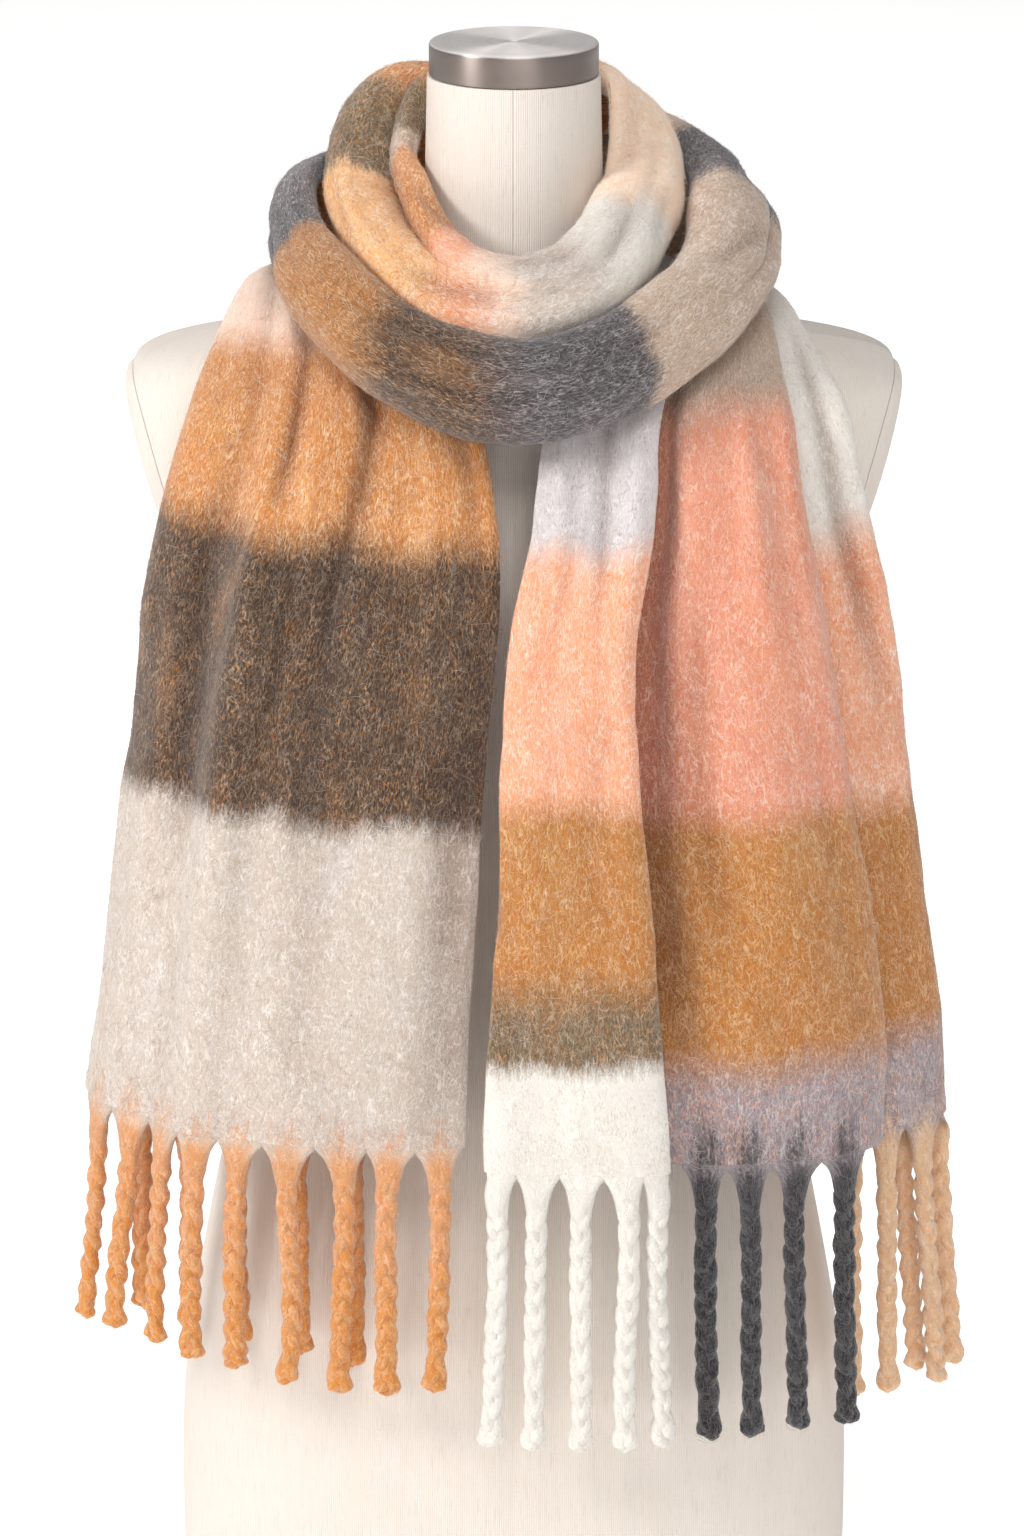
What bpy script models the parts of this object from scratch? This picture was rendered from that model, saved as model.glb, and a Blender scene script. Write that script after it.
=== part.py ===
"""A blanket scarf wound twice round the neck of a limbless tabletop dress form.

Metres, +Z up. The origin is the middle of the form's flat base, the front faces -Y and
+X is the viewer's right. Tables hold millimetres and degrees, and MM turns them to metres.
"""

import math

import bmesh
import bpy
import numpy as np
from mathutils import Vector

MM = 0.001
GAP = 0.3  # left between pieces that touch

# The form: a turned and padded torso with a neck, two oval arm plates and a metal neck cap.
NECK_TOP = 862.0
CAP_TOP = 880.0
CAP_RADIUS = 46.0
CAP_ROUNDING = 1.6
CAP_SIDES = 48
FORM_SIDES = 36
FORM_ROWS = 30
# Each arm plate starts at a plane that leans in towards the bottom.
PLATE_TOP_X = 208.0
PLATE_TOP_Z = 704.0
PLATE_LEAN = 16.0
PLATE_BLOCK_WIDTH = 120.0
PLATE_BLOCK_DEPTH = 400.0
PLATE_BLOCK_TOP = 60.0
PLATE_BLOCK_BOTTOM = -150.0

# Level sections of the form, from the base up.
FORM_COLUMNS = ("z", "half_width", "front", "back", "squareness")
FORM_SECTIONS = [
    (0, 186, 112, 112, 2.3),
    (30, 188, 114, 114, 2.3),
    (120, 186, 114, 116, 2.3),
    (220, 170, 111, 114, 2.2),
    (310, 150, 103, 104, 2.2),
    (400, 132, 92, 86, 2.2),
    (480, 138, 98, 88, 2.2),
    (540, 153, 109, 93, 2.3),
    (566, 164, 113, 95, 2.4),
    (600, 187, 114, 97, 2.35),
    (645, 203, 106, 97, 2.4),
    (688, 212, 91, 92, 2.5),
    (703, 209, 86, 88, 2.5),
    (712, 198, 80, 84, 2.4),
    (718, 168, 75, 78, 2.3),
    (723, 128, 70, 73, 2.2),
    (729, 92, 64, 67, 2.2),
    (738, 70, 58, 60, 2.1),
    (752, 57, 53, 53, 2.0),
    (772, 51, 50, 49.5, 2.0),
    (805, 48.5, 48, 48, 2.0),
    (NECK_TOP, 47, 47, 47, 2.0),
]

# The scarf: brushed wool, thick and soft.
WALL = 3.0
RING_ROWS = 36
RING_POINTS = 21
FALL_ROWS = 22

# Stations round the neck, from the right by the back. up and down are the half-heights of
# the roll's face above and below its middle, depth its half-thickness, lean how far the
# face tips up, crease the depth of the fold that runs along the roll.
TURN_COLUMNS = ("x", "y", "z", "up", "down", "depth", "lean", "crease")
INNER_TURN = [
    (73, -8, 799, 26, 18, 16, 54, 0),
    (65, 37, 832, 29, 17, 12, 38, 0),
    (4, 67, 838, 26, 28, 12, 24, 0),
    (-60, 54, 840, 27, 27, 17, 78, 14),
    (-81, 10, 808, 32, 21, 18, 62, 26),
    (-74, -34, 788, 36, 22, 19, 50, 28),
    (-54, -68, 770, 33, 22, 20, 40, 18),
    (-28, -92, 757, 30, 25, 21, 30, 4),
    (2, -98, 754, 28, 26, 22, 26, 0),
    (31, -92, 761, 28, 25, 22, 32, 0),
    (53, -71, 775, 28, 23, 20, 42, 0),
    (66, -41, 787, 27, 19, 18, 52, 0),
]
INNER_ARC = (-96, 144)
INNER_CREASE_AT = 24
OUTER_TURN = [
    (119, -24, 769, 35, 22, 27, 36, 8),
    (116, 20, 783, 34, 29, 20, 32, 3),
    (98, 64, 786, 40, 42, 18, 20, 5),
    (50, 96, 778, 54, 56, 17, 10, 7),
    (-6, 105, 774, 54, 54, 17, 8, 8),
    (-62, 92, 772, 44, 46, 17, 8, 8),
    (-101, 56, 779, 30, 29, 16, 10, 7),
    (-117, 12, 781, 26, 21, 15, 10, 6),
    (-117, -24, 772, 23, 16, 14, 20, 5),
    (-105, -65, 758, 26, 20, 17, 25, 0),
    (-68, -111, 735, 27, 24, 17, 20, 0),
    (-30, -131, 722, 27, 27, 17, 16, 0),
    (4, -138, 718, 27, 27, 17, 15, 0),
    (45, -129, 725, 27, 27, 17, 19, 0),
    (83, -104, 742, 28, 26, 17, 28, 0),
    (111, -64, 757, 30, 21, 24, 38, 5),
]
OUTER_ARC = (-120, 132)
OUTER_CREASE_AT = -12
CREASE_WIDTH = 16.0  # degrees of the section to each side
LIP = 0.6  # the hem side of a roll is flatter than its face

# Rows of each hanging end, from the hem up, over the shoulder and under the turns. The
# inner edge is the one by the middle of the chest. bow is how far the cloth bellies out
# between its edges, pitch turns the cloth's back from the chest (0) down to the shoulder
# (90) and on to the back, fold is how long a turned-back stretch is, layer scales the
# depth of the folds, and a_edge and b_edge are how far across the first two folds lie.
FALL_COLUMNS = (
    "inner_x", "inner_y", "inner_z", "outer_x", "outer_y", "outer_z",
    "bow", "pitch", "fold", "layer", "a_edge", "b_edge",
)
LEFT_FALL = [
    (-28, -150, 298, -239, -50, 301, 40, 0, 20, 1.00, 0.33, 0.66),
    (-25, -150, 355, -230, -54, 363, 40, 0, 20, 1.00, 0.33, 0.66),
    (-20, -150, 440, -219, -60, 450, 38, 0, 20, 1.00, 0.33, 0.66),
    (-15, -151, 520, -208, -70, 530, 35, 0, 19, 1.00, 0.33, 0.66),
    (-9, -149, 590, -198, -84, 602, 30, 0, 18, 0.90, 0.33, 0.66),
    (-10, -138, 642, -186, -88, 654, 26, 0, 16, 0.75, 0.33, 0.66),
    (-18, -116, 690, -174, -84, 696, 18, 5, 14, 0.55, 0.33, 0.66),
    (-34, -94, 715, -165, -64, 717, 7, 22, 12, 0.44, 0.33, 0.66),
    (-54, -70, 733, -156, -37, 736, 5, 55, 10, 0.42, 0.33, 0.66),
    (-64, -38, 747, -149, -12, 746, 5, 80, 8, 0.42, 0.33, 0.66),
    (-66, -4, 752, -143, 10, 749, 5, 92, 7, 0.44, 0.33, 0.66),
    (-66, 25, 752, -128, 29, 747, 4, 105, 6, 0.42, 0.33, 0.66),
    (-62, 44, 754, -106, 44, 746, 3, 115, 4.5, 0.40, 0.33, 0.66),
]
RIGHT_FALL = [
    (-15, -155, 290, 248, -50, 292, 45, 0, 22, 1.00, 0.40, 0.79),
    (-13, -155, 350, 244, -54, 352, 45, 0, 22, 1.00, 0.37, 0.80),
    (-8, -155, 430, 231, -62, 432, 44, 0, 22, 1.00, 0.33, 0.81),
    (-5, -155, 510, 222, -72, 512, 40, 0, 22, 1.00, 0.33, 0.81),
    (-1, -152, 585, 211, -88, 590, 32, 0, 21, 0.80, 0.34, 0.81),
    (11, -140, 643, 196, -92, 646, 26, 0, 19, 0.62, 0.36, 0.81),
    (17, -119, 689, 182, -88, 694, 17, 5, 16, 0.42, 0.38, 0.80),
    (32, -99, 716, 169, -68, 716, 10, 22, 14, 0.34, 0.38, 0.80),
    (52, -70, 735, 158, -40, 730, 8, 55, 12, 0.31, 0.38, 0.80),
    (61, -38, 749, 151, -12, 738, 7, 80, 11, 0.30, 0.38, 0.80),
    (65, -4, 752, 143, 10, 742, 6, 92, 10, 0.30, 0.38, 0.80),
    (65, 24, 752, 131, 28, 744, 5, 105, 8, 0.28, 0.38, 0.80),
    (60, 40, 754, 108, 40, 744, 3, 112, 7, 0.24, 0.38, 0.80),
]
BELLY_SKEW = 1.15  # the belly of the cloth sits nearer the inner edge

# Points across a hanging end, from its inner edge. A point lies a share of the way from
# one fold edge to the next (0 inner edge, 1 and 2 the folds, 3 outer edge), moved turn
# fold lengths outward, and depth millimetres behind the front at the hem and at the top.
ACROSS_COLUMNS = ("from_edge", "to_edge", "share", "turn", "depth_hem", "depth_top")
LEFT_ACROSS = [
    (0, 1, 0.02, 0.0, 7, 6),
    (0, 1, 0.08, 0.0, 2, 1),
    (0, 1, 0.36, 0.0, -1, -3),
    (0, 1, 0.80, 0.0, 2, 3),
    (1, 2, 0.22, 0.0, 0, -6),
    (1, 2, 0.58, 0.0, 3, 4),
    (1, 2, 0.92, 0.0, -5, -5),
    (2, 3, 0.28, 0.0, 3, 5),
    (2, 3, 0.62, 0.0, -2, -4),
    (2, 3, 0.90, 0.0, 1, 0),
    (3, 3, 0.00, 0.0, 7, 6),
    (3, 3, 0.00, -0.4, 14, 12),
    (3, 3, 0.00, -1.4, 17, 14),
    (3, 3, 0.00, -3.0, 16, 14),
    (3, 3, 0.00, -4.8, 17, 15),
    (3, 3, 0.00, -6.8, 18, 15),
    (3, 3, 0.00, -8.6, 17, 14),
    (3, 3, 0.00, -10.2, 17, 15),
]
RIGHT_ACROSS = [
    (0, 1, 0.04, 0.0, 8, 8),
    (0, 1, 0.02, 0.0, 3, 3),
    (0, 1, 0.14, 0.0, -1, -1),
    (0, 1, 0.42, 0.0, 1, 2),
    (0, 1, 0.72, 0.0, -2, -3),
    (0, 1, 0.94, 0.0, 0, 0),
    (1, 1, 0.00, 0.1, 5, 5),
    (1, 1, 0.00, -0.25, 11, 11),
    (1, 1, 0.00, -0.85, 14, 14),
    (1, 1, 0.00, -1.15, 20, 20),
    (1, 1, 0.00, -0.80, 25, 25),
    (1, 1, 0.00, 0.0, 24, 24),
    (1, 2, 0.25, 0.0, 15, 15),
    (1, 2, 0.55, 0.0, 9, 9),
    (1, 2, 0.85, 0.0, 5, 4),
    (2, 2, 0.00, 0.0, 8, 8),
    (2, 2, 0.00, 0.15, 13, 13),
    (2, 2, 0.00, -0.25, 19, 19),
    (2, 2, 0.00, -0.80, 22, 22),
    (2, 2, 0.00, -1.10, 28, 28),
    (2, 2, 0.00, -0.75, 34, 34),
    (2, 2, 0.00, 0.0, 32, 32),
    (2, 3, 0.50, 0.0, 20, 12),
    (2, 3, 0.88, 0.0, 15, 4),
    (3, 3, 0.00, 0.0, 20, 14),
    (3, 3, 0.00, -0.25, 28, 28),
    (3, 3, 0.00, -1.10, 34, 34),
    (3, 3, 0.00, -2.20, 37, 37),
]
LEFT_STEPS = 30
RIGHT_STEPS = 38

# Twisted tassels. along is a root's place on the hem from its inner edge, in millimetres
# of cloth, and drift_x and drift_y are how far the tip hangs from below its root.
STRIP_HEIGHT = 7.0
STRIP_STEP = 14.0  # the longest straight piece of a strip
HEM_SAMPLES = 600
ROOT_WIDTH = 12.0
TASSEL_COLUMNS = ("along", "drift_x", "drift_y", "length")
LEFT_TASSELS = [
    (15, -3, 1, 142),
    (42, -3, 0, 144),
    (68, -3, 0, 143),
    (98, -2, 0, 139),
    (127, -3, 0, 135),
    (151, -4, 0, 131),
    (178, -4, -2, 128),
    (206, -7, -2, 127),
    (234, -6, -3, 128),
    (300, -1, 3, 126),
    (335, 1, 3, 128),
    (370, 2, 4, 130),
    (405, 2, 4, 132),
    (435, 2, 4, 136),
]
WHITE_TASSELS = [
    (10, -3, 0, 156),
    (33, -2, 0, 158),
    (57, 0, 0, 158),
    (81, 1, 0, 157),
    (100, 3, 0, 155),
]
GREY_TASSELS = [
    (203, 3, -2, 153),
    (226, 4, -1, 152),
    (253, 3, 0, 150),
    (284, 3, 0, 150),
]
TAN_TASSELS = [
    (372, 0, 0, 150),
    (392, 2, 0, 150),
    (418, 5, -2, 149),
    (450, 3, 3, 146),
    (474, 1, 4, 146),
]
# The stretch of hem that each strip runs along.
LEFT_STRIP = (0, 452)
WHITE_STRIP = (0, 122)
GREY_STRIP = (176, 305)
TAN_STRIP = (352, 486)
# Rings down a tassel: share of its length, half-width, half-thickness, twist.
TASSEL_COLUMNS_DOWN = ("share", "half_width", "half_thickness", "twist")
TASSEL_RINGS = [
    (0.06, 6.0, 4.6, 0),
    (0.16, 5.0, 5.0, 20),
    (0.50, 4.8, 4.8, 70),
    (0.88, 5.2, 5.2, 115),
    (0.96, 6.0, 6.0, 125),
    (1.00, 3.6, 3.6, 130),
]


def rows_of(columns, table):
    """Each table row as a dict of its named columns."""
    return [dict(zip(columns, row)) for row in table]


def smooth(points, steps, closed=False):
    """points read at evenly spaced places along a Catmull-Rom curve, a column at a time."""
    points = np.asarray(points, float)
    count = len(points)
    last = count if closed else count - 1
    places = np.linspace(0, last, steps, endpoint=not closed)
    return np.array([smooth_at(points, place, closed) for place in places])


def smooth_at(points, place, closed=False):
    """The Catmull-Rom curve through points at place, counted in points."""
    count = len(points)
    start = min(int(math.floor(place)), count - (1 if closed else 2))
    share = place - start

    def point(index):
        if closed:
            return points[index % count]
        if index < 0:
            return 2 * points[0] - points[1]
        if index >= count:
            return 2 * points[-1] - points[-2]
        return points[index]

    before, first, second, after = (point(start + offset) for offset in (-1, 0, 1, 2))
    return 0.5 * (
        2 * first
        + (second - before) * share
        + (2 * before - 5 * first + 4 * second - after) * share**2
        + (3 * first - 3 * second + after - before) * share**3
    )


def unit(vectors):
    return vectors / np.linalg.norm(vectors, axis=-1, keepdims=True)


def material(name, colour, roughness, metallic=0.0):
    made = bpy.data.materials.new(name)
    made.use_nodes = True
    shader = made.node_tree.nodes["Principled BSDF"]
    shader.inputs["Base Color"].default_value = (*colour, 1.0)
    shader.inputs["Roughness"].default_value = roughness
    shader.inputs["Metallic"].default_value = metallic
    return made


def add_object(name, shape, finish):
    """Links a bmesh (in metres) as a smooth-shaded object with its faces out."""
    bmesh.ops.recalc_face_normals(shape, faces=shape.faces)
    mesh = bpy.data.meshes.new(name)
    shape.to_mesh(mesh)
    shape.free()
    mesh.materials.append(finish)
    mesh.shade_smooth()
    mesh.set_sharp_from_angle(angle=math.radians(45))
    made = bpy.data.objects.new(name, mesh)
    bpy.context.scene.collection.objects.link(made)
    return made


def skin(shape, rings):
    """Joins rings of bmesh vertices, each closed on itself, one to the next."""
    for lower, upper in zip(rings, rings[1:]):
        for index in range(len(lower)):
            after = (index + 1) % len(lower)
            shape.faces.new((lower[index], lower[after], upper[after], upper[index]))


def form_ring(section):
    """One level section of the form: rounded, with its own depth in front and behind."""
    points = []
    for index in range(FORM_SIDES):
        angle = 2 * math.pi * index / FORM_SIDES
        power = 2 / section["squareness"]
        side = math.copysign(abs(math.cos(angle)) ** power, math.cos(angle))
        ahead = math.copysign(abs(math.sin(angle)) ** power, math.sin(angle))
        depth = section["back"] if ahead > 0 else section["front"]
        points.append((side * section["half_width"], ahead * depth, section["z"]))
    return points


def form_body():
    """The whole form below its cap, as a bmesh."""
    shape = bmesh.new()
    rings = []
    for values in smooth(FORM_SECTIONS, FORM_ROWS):
        section = dict(zip(FORM_COLUMNS, values))
        rings.append([shape.verts.new(Vector(point) * MM) for point in form_ring(section)])
    skin(shape, rings)
    shape.faces.new(list(reversed(rings[0])))
    shape.faces.new(rings[-1])
    return shape


def plate_block(name, side, inset):
    """A hidden block whose inner face is the arm plate's seam plane, moved out by inset."""
    shape = bmesh.new()
    bmesh.ops.create_cube(shape, size=1.0)
    for corner in shape.verts:
        corner.co.x = corner.co.x * PLATE_BLOCK_WIDTH * MM
        corner.co.y = corner.co.y * PLATE_BLOCK_DEPTH * MM
        corner.co.z = PLATE_BLOCK_TOP * MM if corner.co.z > 0 else PLATE_BLOCK_BOTTOM * MM
    block = add_object(name, shape, COVER)
    lean = math.radians(PLATE_LEAN) * side
    outward = Vector((math.cos(lean) * side, 0, -math.sin(lean) * side))
    seam = Vector((side * PLATE_TOP_X, 0, PLATE_TOP_Z))
    block.location = (seam + outward * (inset + PLATE_BLOCK_WIDTH / 2)) * MM
    block.rotation_euler = (0, lean, 0)
    block.hide_render = True
    block.display_type = "WIRE"
    return block


def boolean(target, tool, operation):
    modifier = target.modifiers.new(tool.name, "BOOLEAN")
    modifier.operation = operation
    modifier.solver = "EXACT"
    modifier.object = tool


def make_form():
    """The torso with its neck, and the two padded plates that close its armholes."""
    torso = add_object("form_torso", form_body(), COVER)
    for side, word in ((1, "right"), (-1, "left")):
        boolean(torso, plate_block(f"armhole_cut_{word}", side, 0.0), "DIFFERENCE")
        plate = add_object(f"form_arm_plate_{word}", form_body(), COVER)
        boolean(plate, plate_block(f"arm_plate_block_{word}", side, GAP), "INTERSECT")


def make_neck_cap():
    """The turned metal disc on the neck, with a rounded upper edge."""
    shape = bmesh.new()
    profile = [
        (CAP_RADIUS - 0.4, NECK_TOP + GAP),
        (CAP_RADIUS, NECK_TOP + GAP + 0.4),
        (CAP_RADIUS, CAP_TOP - CAP_ROUNDING),
        (CAP_RADIUS - 0.3 * CAP_ROUNDING, CAP_TOP - 0.3 * CAP_ROUNDING),
        (CAP_RADIUS - CAP_ROUNDING, CAP_TOP),
    ]
    rings = []
    for radius, height in profile:
        ring = []
        for index in range(CAP_SIDES):
            angle = 2 * math.pi * index / CAP_SIDES
            place = Vector((radius * math.cos(angle), radius * math.sin(angle), height))
            ring.append(shape.verts.new(place * MM))
        rings.append(ring)
    skin(shape, rings)
    shape.faces.new(list(reversed(rings[0])))
    shape.faces.new(rings[-1])
    add_object("neck_cap", shape, STEEL)


def cloth_wall(name, middle, closed_rows, finish):
    """A wall of cloth WALL thick about a grid of points: rows along it, columns across."""
    if closed_rows:
        along = np.roll(middle, -1, axis=0) - np.roll(middle, 1, axis=0)
    else:
        along = np.gradient(middle, axis=0)
    across = np.gradient(middle, axis=1)
    out = unit(np.cross(along, across)) * WALL / 2
    rows, columns = middle.shape[:2]
    shape = bmesh.new()
    rings = []
    for row in range(rows):
        front = [shape.verts.new(Vector(point) * MM) for point in (middle + out)[row]]
        back = [shape.verts.new(Vector(point) * MM) for point in (middle - out)[row]]
        rings.append(front + back[::-1])
    skin(shape, rings + rings[:1] if closed_rows else rings)
    if not closed_rows:
        for ring in (rings[0], rings[-1]):
            for index in range(columns - 1):
                pair = (ring[index], ring[index + 1])
                opposite = (ring[-index - 2], ring[-index - 1])
                shape.faces.new((*pair, *opposite))
    return add_object(name, shape, finish)


def turn_points(table, arc, crease_at):
    """The cloth of one turn round the neck: an arc of an oval, swept round its stations."""
    stations = smooth(table, RING_ROWS, closed=True)
    ways = np.roll(stations[:, :2], -1, axis=0) - np.roll(stations[:, :2], 1, axis=0)
    grid = []
    for values, way in zip(stations, unit(ways)):
        station = dict(zip(TURN_COLUMNS, values))
        middle = np.array([station["x"], station["y"], station["z"]])
        lean = math.radians(station["lean"])
        outward = np.array([way[1], -way[0], 0.0])
        upward = np.array([0.0, 0.0, 1.0])
        face = math.cos(lean) * outward + math.sin(lean) * upward
        rise = math.cos(lean) * upward - math.sin(lean) * outward
        row = []
        for angle in np.linspace(*arc, RING_POINTS):
            turned = math.radians(angle)
            height = station["up"] if angle > 0 else station["down"]
            near_crease = math.exp(-abs(angle - crease_at) / CREASE_WIDTH)
            bulge = math.cos(turned) * (1.0 if abs(angle) < 90 else LIP)
            depth = station["depth"] * bulge - station["crease"] * near_crease
            row.append(middle + depth * face + height * math.sin(turned) * rise)
        grid.append(row)
    return np.array(grid)


def fall_frame(row):
    """Inner and outer edge, the way across and the way in to the cloth's back, of a row."""
    inner = np.array([row["inner_x"], row["inner_y"], row["inner_z"]])
    outer = np.array([row["outer_x"], row["outer_y"], row["outer_z"]])
    way = unit(outer - inner)
    pitch = math.radians(row["pitch"])
    back = np.array([0.0, math.cos(pitch), -math.sin(pitch)])
    return inner, outer, way, unit(back - back.dot(way) * way)


def fall_row(row, across, hem_share):
    """The points across one row of a hanging end, at the places of its across table."""
    inner, outer, way, back = fall_frame(row)
    width = np.linalg.norm(outer - inner)
    edges = (0.0, row["a_edge"] * width, row["b_edge"] * width, width)
    points = []
    for place in across:
        start = edges[int(place["from_edge"])]
        end = edges[int(place["to_edge"])]
        reach = start + (end - start) * place["share"] + place["turn"] * row["fold"]
        share = min(max(reach / width, 0.0), 1.0)
        belly = row["bow"] * math.sin(math.pi * share**BELLY_SKEW)
        hem = place["depth_hem"] * hem_share + place["depth_top"] * (1 - hem_share)
        points.append(inner + way * reach + back * (hem * row["layer"] - belly))
    return np.array(points)


def fall_points(table, across_table, steps):
    """The cloth of one hanging end, from the hem up, as rows of points across it."""
    across = rows_of(ACROSS_COLUMNS, across_table)
    rows = smooth(table, FALL_ROWS)
    grid = []
    for index, values in enumerate(rows):
        hem_share = 1 - index / (len(rows) - 1)
        points = fall_row(dict(zip(FALL_COLUMNS, values)), across, hem_share)
        grid.append(smooth(points, steps))
    return np.array(grid)


def hem_line(table, across_table):
    """The control points across the hem, a gap below the cloth's lower edge."""
    row = dict(zip(FALL_COLUMNS, table[0]))
    points = fall_row(row, rows_of(ACROSS_COLUMNS, across_table), 1.0)
    points[:, 2] -= GAP
    return points


def strip_cuts(strip, roots):
    """Places along the hem where the strip has a corner: each root's two sides, and steps."""
    sides = sorted(root + sign * ROOT_WIDTH / 2 for root in roots for sign in (-1, 1))
    ends = [strip[0], *sides, strip[1]]
    cuts = []
    for start, end in zip(ends[0::2], ends[1::2]):
        steps = max(1, math.ceil((end - start) / STRIP_STEP))
        cuts += list(np.linspace(start, end, steps + 1))
    return cuts


def make_fringe(name, hem, strip, tassels, finish):
    """A narrow strip along part of the hem, with tassels drawn down out of its lower side."""
    line = smooth(hem, HEM_SAMPLES)
    lengths = np.concatenate([[0], np.cumsum(np.linalg.norm(np.diff(line, axis=0), axis=1))])
    roots = {row["along"] - ROOT_WIDTH / 2: row for row in tassels}
    cuts = strip_cuts(strip, [row["along"] for row in tassels])
    spots = np.array([[np.interp(cut, lengths, line[:, axis]) for axis in range(3)] for cut in cuts])
    ways = unit(np.gradient(spots, axis=0) * (1, 1, 0))
    sides = np.stack([ways[:, 1], -ways[:, 0], np.zeros(len(ways))], axis=1) * WALL / 2
    low = np.array([0, 0, -STRIP_HEIGHT])
    shape = bmesh.new()
    corners = []
    for spot, side in zip(spots, sides):
        ring = (spot + side, spot + side + low, spot - side + low, spot - side)
        corners.append([shape.verts.new(Vector(point) * MM) for point in ring])
    shape.faces.new(corners[0])
    shape.faces.new(corners[-1][::-1])
    for cut, here, there in zip(cuts, corners, corners[1:]):
        for first in range(4):
            second = (first + 1) % 4
            if first == 1 and cut in roots:
                draw_tassel(shape, (here[1], there[1], there[2], here[2]), roots[cut])
            else:
                shape.faces.new((here[first], here[second], there[second], there[first]))
    add_object(name, shape, finish)


def draw_tassel(shape, root, tassel):
    """A four-sided rope below the root face, turning a little on its way to a blunt tip."""
    middle = sum((corner.co for corner in root), Vector()) / 4 / MM
    way = (root[1].co - root[0].co).normalized()
    side = Vector((way.y, -way.x, 0))
    rings = [list(root)]
    for ring in rows_of(TASSEL_COLUMNS_DOWN, TASSEL_RINGS):
        share = ring["share"]
        drift = Vector((tassel["drift_x"], tassel["drift_y"], 0)) * share
        centre = middle + drift - Vector((0, 0, tassel["length"] * share))
        twist = math.radians(ring["twist"])
        along = way * math.cos(twist) + side * math.sin(twist)
        outward = side * math.cos(twist) - way * math.sin(twist)
        corners = []
        for sign_along, sign_out in ((-1, 1), (1, 1), (1, -1), (-1, -1)):
            offset = along * (sign_along * ring["half_width"])
            offset += outward * (sign_out * ring["half_thickness"])
            corners.append(shape.verts.new((centre + offset) * MM))
        rings.append(corners)
    skin(shape, rings)
    shape.faces.new(rings[-1])


for old in list(bpy.data.objects):
    bpy.data.objects.remove(old, do_unlink=True)

COVER = material("linen_cover", (0.80, 0.75, 0.67), 0.85)
STEEL = material("brushed_steel", (0.55, 0.53, 0.51), 0.3, 1.0)
CAMEL = material("camel_wool", (0.62, 0.36, 0.15), 0.95)
PEACH = material("peach_wool", (0.80, 0.45, 0.30), 0.95)
SMOKE = material("smoke_wool", (0.16, 0.15, 0.15), 0.95)
OCHRE = material("ochre_wool", (0.70, 0.40, 0.18), 0.95)
CREAM = material("cream_wool", (0.82, 0.76, 0.68), 0.95)
TAN = material("tan_wool", (0.70, 0.48, 0.32), 0.95)

make_form()
make_neck_cap()
cloth_wall("neck_turn_inner", turn_points(INNER_TURN, INNER_ARC, INNER_CREASE_AT), True, OCHRE)
cloth_wall("neck_turn_outer", turn_points(OUTER_TURN, OUTER_ARC, OUTER_CREASE_AT), True, SMOKE)
cloth_wall("fall_left", fall_points(LEFT_FALL, LEFT_ACROSS, LEFT_STEPS), False, CAMEL)
cloth_wall("fall_right", fall_points(RIGHT_FALL, RIGHT_ACROSS, RIGHT_STEPS), False, PEACH)

LEFT_HEM = hem_line(LEFT_FALL, LEFT_ACROSS)
RIGHT_HEM = hem_line(RIGHT_FALL, RIGHT_ACROSS)
for fringe_name, fringe_hem, fringe_strip, fringe_table, fringe_finish in (
    ("fringe_left", LEFT_HEM, LEFT_STRIP, LEFT_TASSELS, CAMEL),
    ("fringe_right_white", RIGHT_HEM, WHITE_STRIP, WHITE_TASSELS, CREAM),
    ("fringe_right_grey", RIGHT_HEM, GREY_STRIP, GREY_TASSELS, SMOKE),
    ("fringe_right_tan", RIGHT_HEM, TAN_STRIP, TAN_TASSELS, TAN),
):
    fringe_rows = rows_of(TASSEL_COLUMNS, fringe_table)
    make_fringe(fringe_name, fringe_hem, fringe_strip, fringe_rows, fringe_finish)
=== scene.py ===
"""Dresses a blanket scarf that is wound twice round the neck of a limbless dress form.

The cloth is brushed wool with a long soft nap and twisted tassels. The form has a ribbed
linen cover, stitched arm plates and a spun steel neck cap. The tables hold millimetres
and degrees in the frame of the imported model, and MM turns them to metres. The stage's
values are in metres.
"""

import math

import bmesh
import bpy
import numpy as np
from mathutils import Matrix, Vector


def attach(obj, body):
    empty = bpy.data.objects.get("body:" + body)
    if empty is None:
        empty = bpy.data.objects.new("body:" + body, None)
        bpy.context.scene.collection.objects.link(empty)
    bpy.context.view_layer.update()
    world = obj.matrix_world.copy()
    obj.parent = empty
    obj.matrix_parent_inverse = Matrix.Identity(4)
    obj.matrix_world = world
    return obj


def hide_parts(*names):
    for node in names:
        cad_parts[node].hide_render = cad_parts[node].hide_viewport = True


bl_info = {
    "name": "Blanket scarf on a dress form",
    "version": (1, 0, 0),
    "blender": (4, 5, 0),
    "location": "3D View > Sidebar > Scarf",
    "description": "Makes the cloth, nap, tassels, form cover, neck cap and stage",
    "category": "Object",
}

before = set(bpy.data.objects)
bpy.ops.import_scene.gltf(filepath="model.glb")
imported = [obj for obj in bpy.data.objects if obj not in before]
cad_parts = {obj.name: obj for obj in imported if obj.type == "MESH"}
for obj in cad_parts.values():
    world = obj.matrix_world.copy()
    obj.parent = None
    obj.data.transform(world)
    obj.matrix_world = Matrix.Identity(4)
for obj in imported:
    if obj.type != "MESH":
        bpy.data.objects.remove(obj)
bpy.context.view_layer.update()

MM = 0.001
SEED = 20

# ------------------------------------------------------------------ shapes of the form
NECK_TOP = 862.0
CAP_TOP = 880.0
CAP_RADIUS = 46.0
CAP_EDGE = 1.8
PLATE_TOP_X = 208.0
PLATE_TOP_Z = 704.0
PLATE_LEAN = 16.0
PLATE_FOOT = 545.0
GAP = 0.3
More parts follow.
